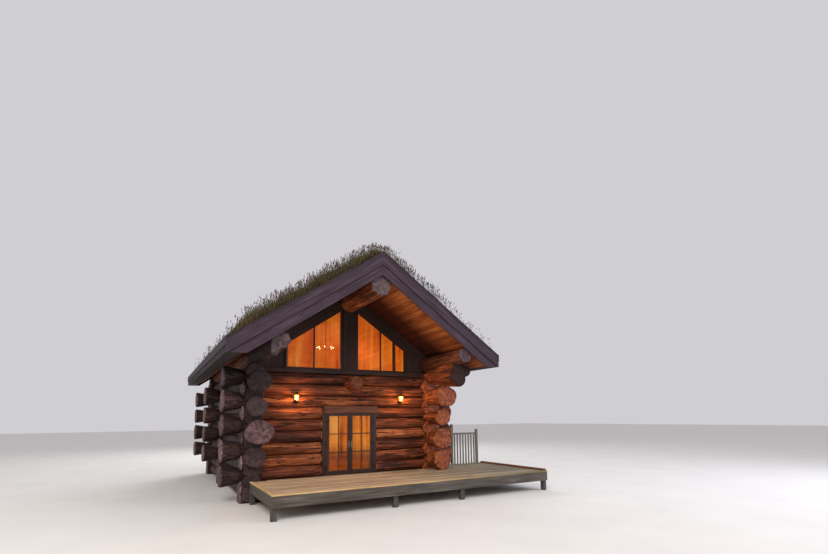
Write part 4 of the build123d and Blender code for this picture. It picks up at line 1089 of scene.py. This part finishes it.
def wall_lantern(side, metal, glass, flame):
    """Tapered lantern on a sagging arm: bars, panes, roof and its flame bulb."""
    node = f"wall_lantern_{side}"
    low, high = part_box(node)
    rng = np.random.default_rng(SEED + 41)
    x, back = (low.x + high.x) / 2, high.y
    body_y, arm_z = low.y + 0.075, low.z + 0.052
    base, cap = arm_z + 0.022, high.z - 0.080
    middle = (base + cap) / 2
    low_half, high_half = 0.043, 0.072
    bars, panes, bulb = Builder(plain=True), Builder(), Builder()
    # Wall plate with a raised middle: distance from the wall, foot, head, width and thickness
    for y, foot, head, *section in ((0.009, 0.0, 0.104, 0.11, 0.018), (0.023, 0.02, 0.084, 0.06, 0.012)):
        start, end = (x, back - y, low.z + foot), (x, back - y, low.z + head)
        add_board(bars, rng, start, end, (1, 0, 0), *section)
    # Arm, which sags from the wall to the lantern's foot
    arm_start, arm_top, sag = back - 0.02, arm_z + 0.011, 0.022
    arm = [(x, arm_start + 0.002, arm_top)]
    for share in np.linspace(0, 1, 12):
        y = arm_start - share * (arm_start - body_y)
        arm.append((x, y, arm_top - sag * math.sin(share * math.pi)))
    add_tube(bars, arm, 0.008)

    def ring(z, half=None):
        """The four corners at a height, on the tapered sides unless a half width is given."""
        half = half or low_half + (high_half - low_half) * (z - base) / (cap - base)
        return np.array([(x + u * half, body_y + v * half, z) for u, v in CORNERS])

    bars.add(ring(base + 0.004), [[0, 1, 2, 3]])
    for post in zip(ring(base), ring(middle), ring(cap)):
        add_tube(bars, post, 0.0055, 6)
    for z, radius in ((base + 0.003, 0.007), (cap - 0.003, 0.008), (middle, 0.0035)):
        for here, there in zip(ring(z), np.roll(ring(z), -1, 0)):
            add_tube(bars, [here, (here + there) / 2, there], radius, 6)
    # Hipped roof with an eave and a finial, from heights and half widths
    levels = ((cap, 0.082), (cap + 0.007, 0.082), (cap + 0.038, 0.05), (cap + 0.062, 0.018), (high.z, 0.012))
    roof = [ring(min(z, high.z), half) for z, half in levels]
    bars.add(np.concatenate(roof), grid_faces(len(roof), len(CORNERS), closed=True))
    bars.add(roof[0], [[3, 2, 1, 0]])
    bars.add(roof[-1], [[0, 1, 2, 3]])
    foot, head = ring(base + 0.006), ring(cap - 0.006)
    for pane in zip(foot, np.roll(foot, -1, 0), np.roll(head, -1, 0), head):
        panes.add(pane, [[0, 1, 2, 3]])
    bars.finish(f"lantern_frame_{side}", metal, smooth=False, slot="dark_metal", replaces=node)
    panes.finish(f"lantern_panes_{side}", glass, smooth=False)
    profile = (
        (0.004, 0), (0.012, 0.006), (0.017, 0.03), (0.021, 0.055),
        (0.016, 0.085), (0.006, 0.11), (0.001, 0.12),
    )
    add_lathe(bulb, (x, body_y, base + 0.022), profile, 14)
    bulb.finish(f"lantern_bulb_{side}", flame)


def chandelier(metal, wax, flame):
    """Eight curved arms with cups and candle lamps on a turned stem under the ridge."""
    low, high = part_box("chandelier")
    hub = np.array(((low.x + high.x) / 2, (low.y + high.y) / 2, low.z + 0.11))
    arms, start, reach = 8, 0.02, 0.93 * ((high.x - low.x) / 2 - 0.012)
    iron, candles, flames = Builder(), Builder(), Builder()
    stem = (
        (0.004, -0.11), (0.02, -0.10), (0.03, -0.08), (0.018, -0.06), (0.042, -0.02), (0.045, 0.02),
        (0.02, 0.06), (0.03, 0.09), (0.012, 0.11), (0.009, 0.14), (0.009, high.z - hub[2]),
    )
    cup = ((0.006, -0.004), (0.012, 0.002), (0.028, 0.010), (0.030, 0.014), (0.012, 0.013))
    candle = ((0.011, 0.012), (0.0115, 0.02), (0.0115, 0.066), (0.009, 0.069), (0.001, 0.069))
    lamp = ((0.003, 0.068), (0.009, 0.076), (0.0105, 0.084), (0.006, 0.094), (0.001, 0.102))
    add_lathe(iron, hub, stem)
    for index in range(arms):
        angle = (index + 0.5) * 2 * math.pi / arms
        line = []
        for share in np.linspace(0, 1, 14):
            out = start + share * (reach - start)
            lift = -0.045 * share - 0.060 * math.sin(share * math.pi) * (1 - 0.35 * share)
            line.append(hub + np.array((math.cos(angle) * out, math.sin(angle) * out, lift)))
        add_tube(iron, line, 0.007, 8)
        for builder, profile, sides in ((iron, cup, 14), (candles, candle, 12), (flames, lamp, 12)):
            add_lathe(builder, line[-1], profile, sides)
    iron.finish("chandelier_iron", metal, slot="dark_metal", replaces="chandelier")
    candles.finish("chandelier_candles", wax)
    flames.finish("chandelier_flames", flame)


# The object
def dress_logs():
    """Walls, rear gable and the logs that carry the roof."""
    logs = log_material()
    cross_walls = [f"front_wall_{part}" for part in ("lower", "left", "right", "upper")]
    cross_walls += ["rear_wall", "stub_wall_logs"]
    for seed, node in enumerate(cross_walls + ["left_wall", "right_wall"]):
        log_wall(node, 0 if node in cross_walls else 1, logs, seed)
    gable_logs("rear_gable", logs)
    for seed, node in enumerate(("ridge_log", "plate_log_left", "plate_log_right", "girder_log")):
        roof_log(node, logs, 50 + seed)


def dress_roof():
    """Ceiling, verges, eaves, turf, grass and seed heads."""
    # Painted shade on the ceiling near the front gable, under the overhang
    painted_overhang_shade = ("5a3430", overhang_shade_share)
    ceiling(board_material("ceiling_planks", ("5c2c15", "9c5527", "cd8546"), wear=0.3, greying_and_painted_shade=painted_overhang_shade))
    barge = {node: 0.006 for node in NODES if "barge_boards" in node}
    dress_timber("barge_timber", ("171013", "362833", "534350"), grain_down_slope, barge, rough=(0.7, 0.9))
    eave = {"eave_boards": 0.004, "roof_build_up": 0.0}
    dress_timber("eave_timber", ("130c0d", "231a1b", "382c2e"), grain_along("YXZ"), eave, rough=(0.7, 0.9))
    ground = turf_material()
    blade = blade_material("grass_blades", "14160b", "31371a", "59582f", "6a583b")
    heads = blade_material("seed_head", "2c2a1a", "362a22", "42332c", "54453d")
    for side, density, tall in (("left", 580, 1.15), ("right", 480, 0.95)):
        slope = Slope(side)
        turf(slope, ground)
        meadow(slope, blade, heads, density, tall)
    cap = board_material("barge_cap", ("141013", "2b2429", "453a42"))
    roof_trims(cap, board_material("turf_board", ("1a1216", "30252b", "4b3c45")))


def dress_gable_and_doors():
    """Dark timber of the gable, joinery and glass."""
    upright = {"gable_post": 0.012, "gable_side_panels": 0.004}
    dress_timber("dark_beam_x", BEAM, grain_along("XYZ"), {"gable_sill": 0.010})
    dress_timber("dark_beam_z", BEAM, grain_along("ZXY"), upright)
    dress_timber("dark_beam_slope", BEAM, grain_down_slope, {"gable_headers": 0.006})
    names = ["gable_window_left", "gable_window_right", "door_frame", "door_leaf_left", "door_leaf_right"]
    joinery = {"wear": 0.1, "rough": (0.4, 0.6)}
    colours = ("140c09", "2a1812", "43291e")
    dress_timber("dark_joinery", colours, grain_along("ZXY"), dict.fromkeys(names, 0.004), **joinery)
    panes = {
        "gable_glass": glowing_glass("gable_glass", ORANGE_LIGHT),
        "door_glass": glowing_glass("door_glass", AMBER_LIGHT, painted_shade_from=1.55),
    }
    for name, material in panes.items():
        for side in ("left", "right"):
            dress_node(f"{name}_{side}", material, 0.0)


def dress_floor_and_deck():
    """Floor, deck, kerb, balustrade and the board over the doors."""
    floor_wood = ("4d2c18", "8a5630", "b58250")
    dress_timber("floor_boards", floor_wood, grain_along("YXZ"), {"floor": 0.0})
    floor_planks(board_material("floor_planks", floor_wood, tones=0.25))
    greying, border_greying = ("b4c0c4", towards_right), ("9fb0b2", towards_right)
    deck = board_material("deck_timber", ("75654f", "b19778", "d3bb97"), tones=0.30, greying_and_painted_shade=greying)
    deck_boards(deck, board_material("deck_border", ("6d5436", "a9875a", "d0b080"), greying_and_painted_shade=border_greying))
    for name, colours, order, node in (
        ("deck_fascia", ("27231e", "4c463f", "746c62"), "XYZ", "deck_frame"),
        ("deck_posts", ("24221f", "46423d", "6a645c"), "ZXY", "deck_posts"),
        ("deck_kerb", ("43281c", "7d5138", "a5755a"), "YXZ", "deck_kerb"),
        ("rail_timber", ("3b3834", "6b655d", "938b80"), "ZXY", "balustrade"),
    ):
        dress_timber(name, colours, grain_along(order), {node: 0.004})
    door_lintel(board_material("door_lintel", ("26120c", "4c2a1c", "6e412c")))


def dress_metal_and_lamps():
    """Hinges, handles, lanterns and chandelier."""
    iron = metal_material("black_iron", "2a2624", "171412")
    steel = metal_material("satin_steel", "8f897f", "5f5a53", metallic=1.0, rough=(0.25, 0.4))
    flame = lamp_material("lamp_flame", "ffd08a", "fff1cf", 25.0)
    lantern_glass = lamp_material("lantern_glass", "f08a28", "ffc46a", 0.8, alpha=0.45)
    for side in ("left", "right"):
        dress_node(f"door_hinges_{side}", iron, 0.0)
        dress_node(f"door_handle_{side}", steel, 0.0015)
        wall_lantern(side, iron, lantern_glass, flame)
    chandelier(iron, wax_material(), flame)


# Stage, lights and camera
def studio():
    """Pale floor and an even sky."""
    half = 120.0
    mesh = bpy.data.meshes.new("studio_floor")
    corners = [(-half, -half, 0), (half, -half, 0), (half, half, 0), (-half, half, 0)]
    mesh.from_pydata(corners, [], [(0, 1, 2, 3)])
    floor = bpy.data.objects.new("studio_floor", mesh)
    bpy.context.scene.collection.objects.link(floor)
    floor.location.z = -0.002
    g = Graph("studio_floor")
    speck = g.noise(g.position(), scale=0.6, detail=3)
    colour = g.mix(g.spread(speck, 0.3, 0.7), "dcdad6", "e2e0dc")
    mesh.materials.append(g.finish(base_color=colour, roughness=0.9))
    world = bpy.data.worlds.new("studio")
    bpy.context.scene.world = world
    world.use_nodes = True
    background = world.node_tree.nodes["Background"]
    background.inputs["Color"].default_value = (*srgb("eceaf0"), 1)
    background.inputs["Strength"].default_value = 0.75


def add_lamp(name, kind, place, energy, colour, **settings):
    """Lamp of one kind at a place, with that kind's own settings."""
    data = bpy.data.lights.new(name, kind)
    data.energy, data.color = energy, srgb(colour)
    for key, value in settings.items():
        setattr(data, key, value)
    lamp = bpy.data.objects.new(name, data)
    bpy.context.scene.collection.objects.link(lamp)
    lamp.location = place
    return lamp


def lights():
    """Studio lamps, the room's warm light and the lanterns' own."""
    for name, place, target, width, energy, colour in (
        ("key", (-14, -20, 16), (0, 0, 3), 12, 4600, "fff4e6"),
        ("fill", (18, -16, 9), (1, 0, 3), 12, 2100, "e8ecff"),
        ("back", (6, 24, 16), (0, 6, 4), 14, 2600, "ffffff"),
    ):
        lamp = add_lamp(name, "AREA", place, energy, colour, shape="RECTANGLE", size=width, size_y=10)
        lamp.rotation_euler = (Vector(target) - Vector(place)).to_track_quat("-Z", "Y").to_euler()
    for index, place in enumerate(((-1.5, 3.4, 4.9), (1.5, 4.2, 4.9), (0.0, 3.2, 2.3), (0.6, 6.6, 4.6))):
        add_lamp(f"room_{index}", "POINT", place, 90, "ffb26a", shadow_soft_size=0.25)
    lantern_x, lantern_y, lantern_z = 1.99, -0.47, 3.34
    for index, sign in enumerate((-1, 1)):
        place = (sign * lantern_x, lantern_y, lantern_z)
        add_lamp(f"lantern_{index}", "POINT", place, 34, "ffb266", shadow_soft_size=0.06)


def camera():
    """The photograph's camera."""
    data = bpy.data.cameras.new("camera")
    data.sensor_width = CAMERA_SENSOR
    data.lens = CAMERA_LENS
    data.shift_y = CAMERA_SHIFT_Y
    data.clip_end = 500
    viewer = bpy.data.objects.new("camera", data)
    bpy.context.scene.collection.objects.link(viewer)
    turn = Matrix.Rotation(-CAMERA_YAW, 4, "Z") @ Matrix.Rotation(math.pi / 2 + CAMERA_PITCH, 4, "X")
    turn = turn @ Matrix.Rotation(CAMERA_ROLL, 4, "Z")
    viewer.matrix_world = Matrix.Translation(CAMERA_PLACE) @ turn
    bpy.context.scene.camera = viewer


bpy.context.scene.view_settings.view_transform = "Standard"
camera()
studio()
lights()
dress_logs()
dress_roof()
dress_gable_and_doors()
dress_floor_and_deck()
dress_metal_and_lamps()
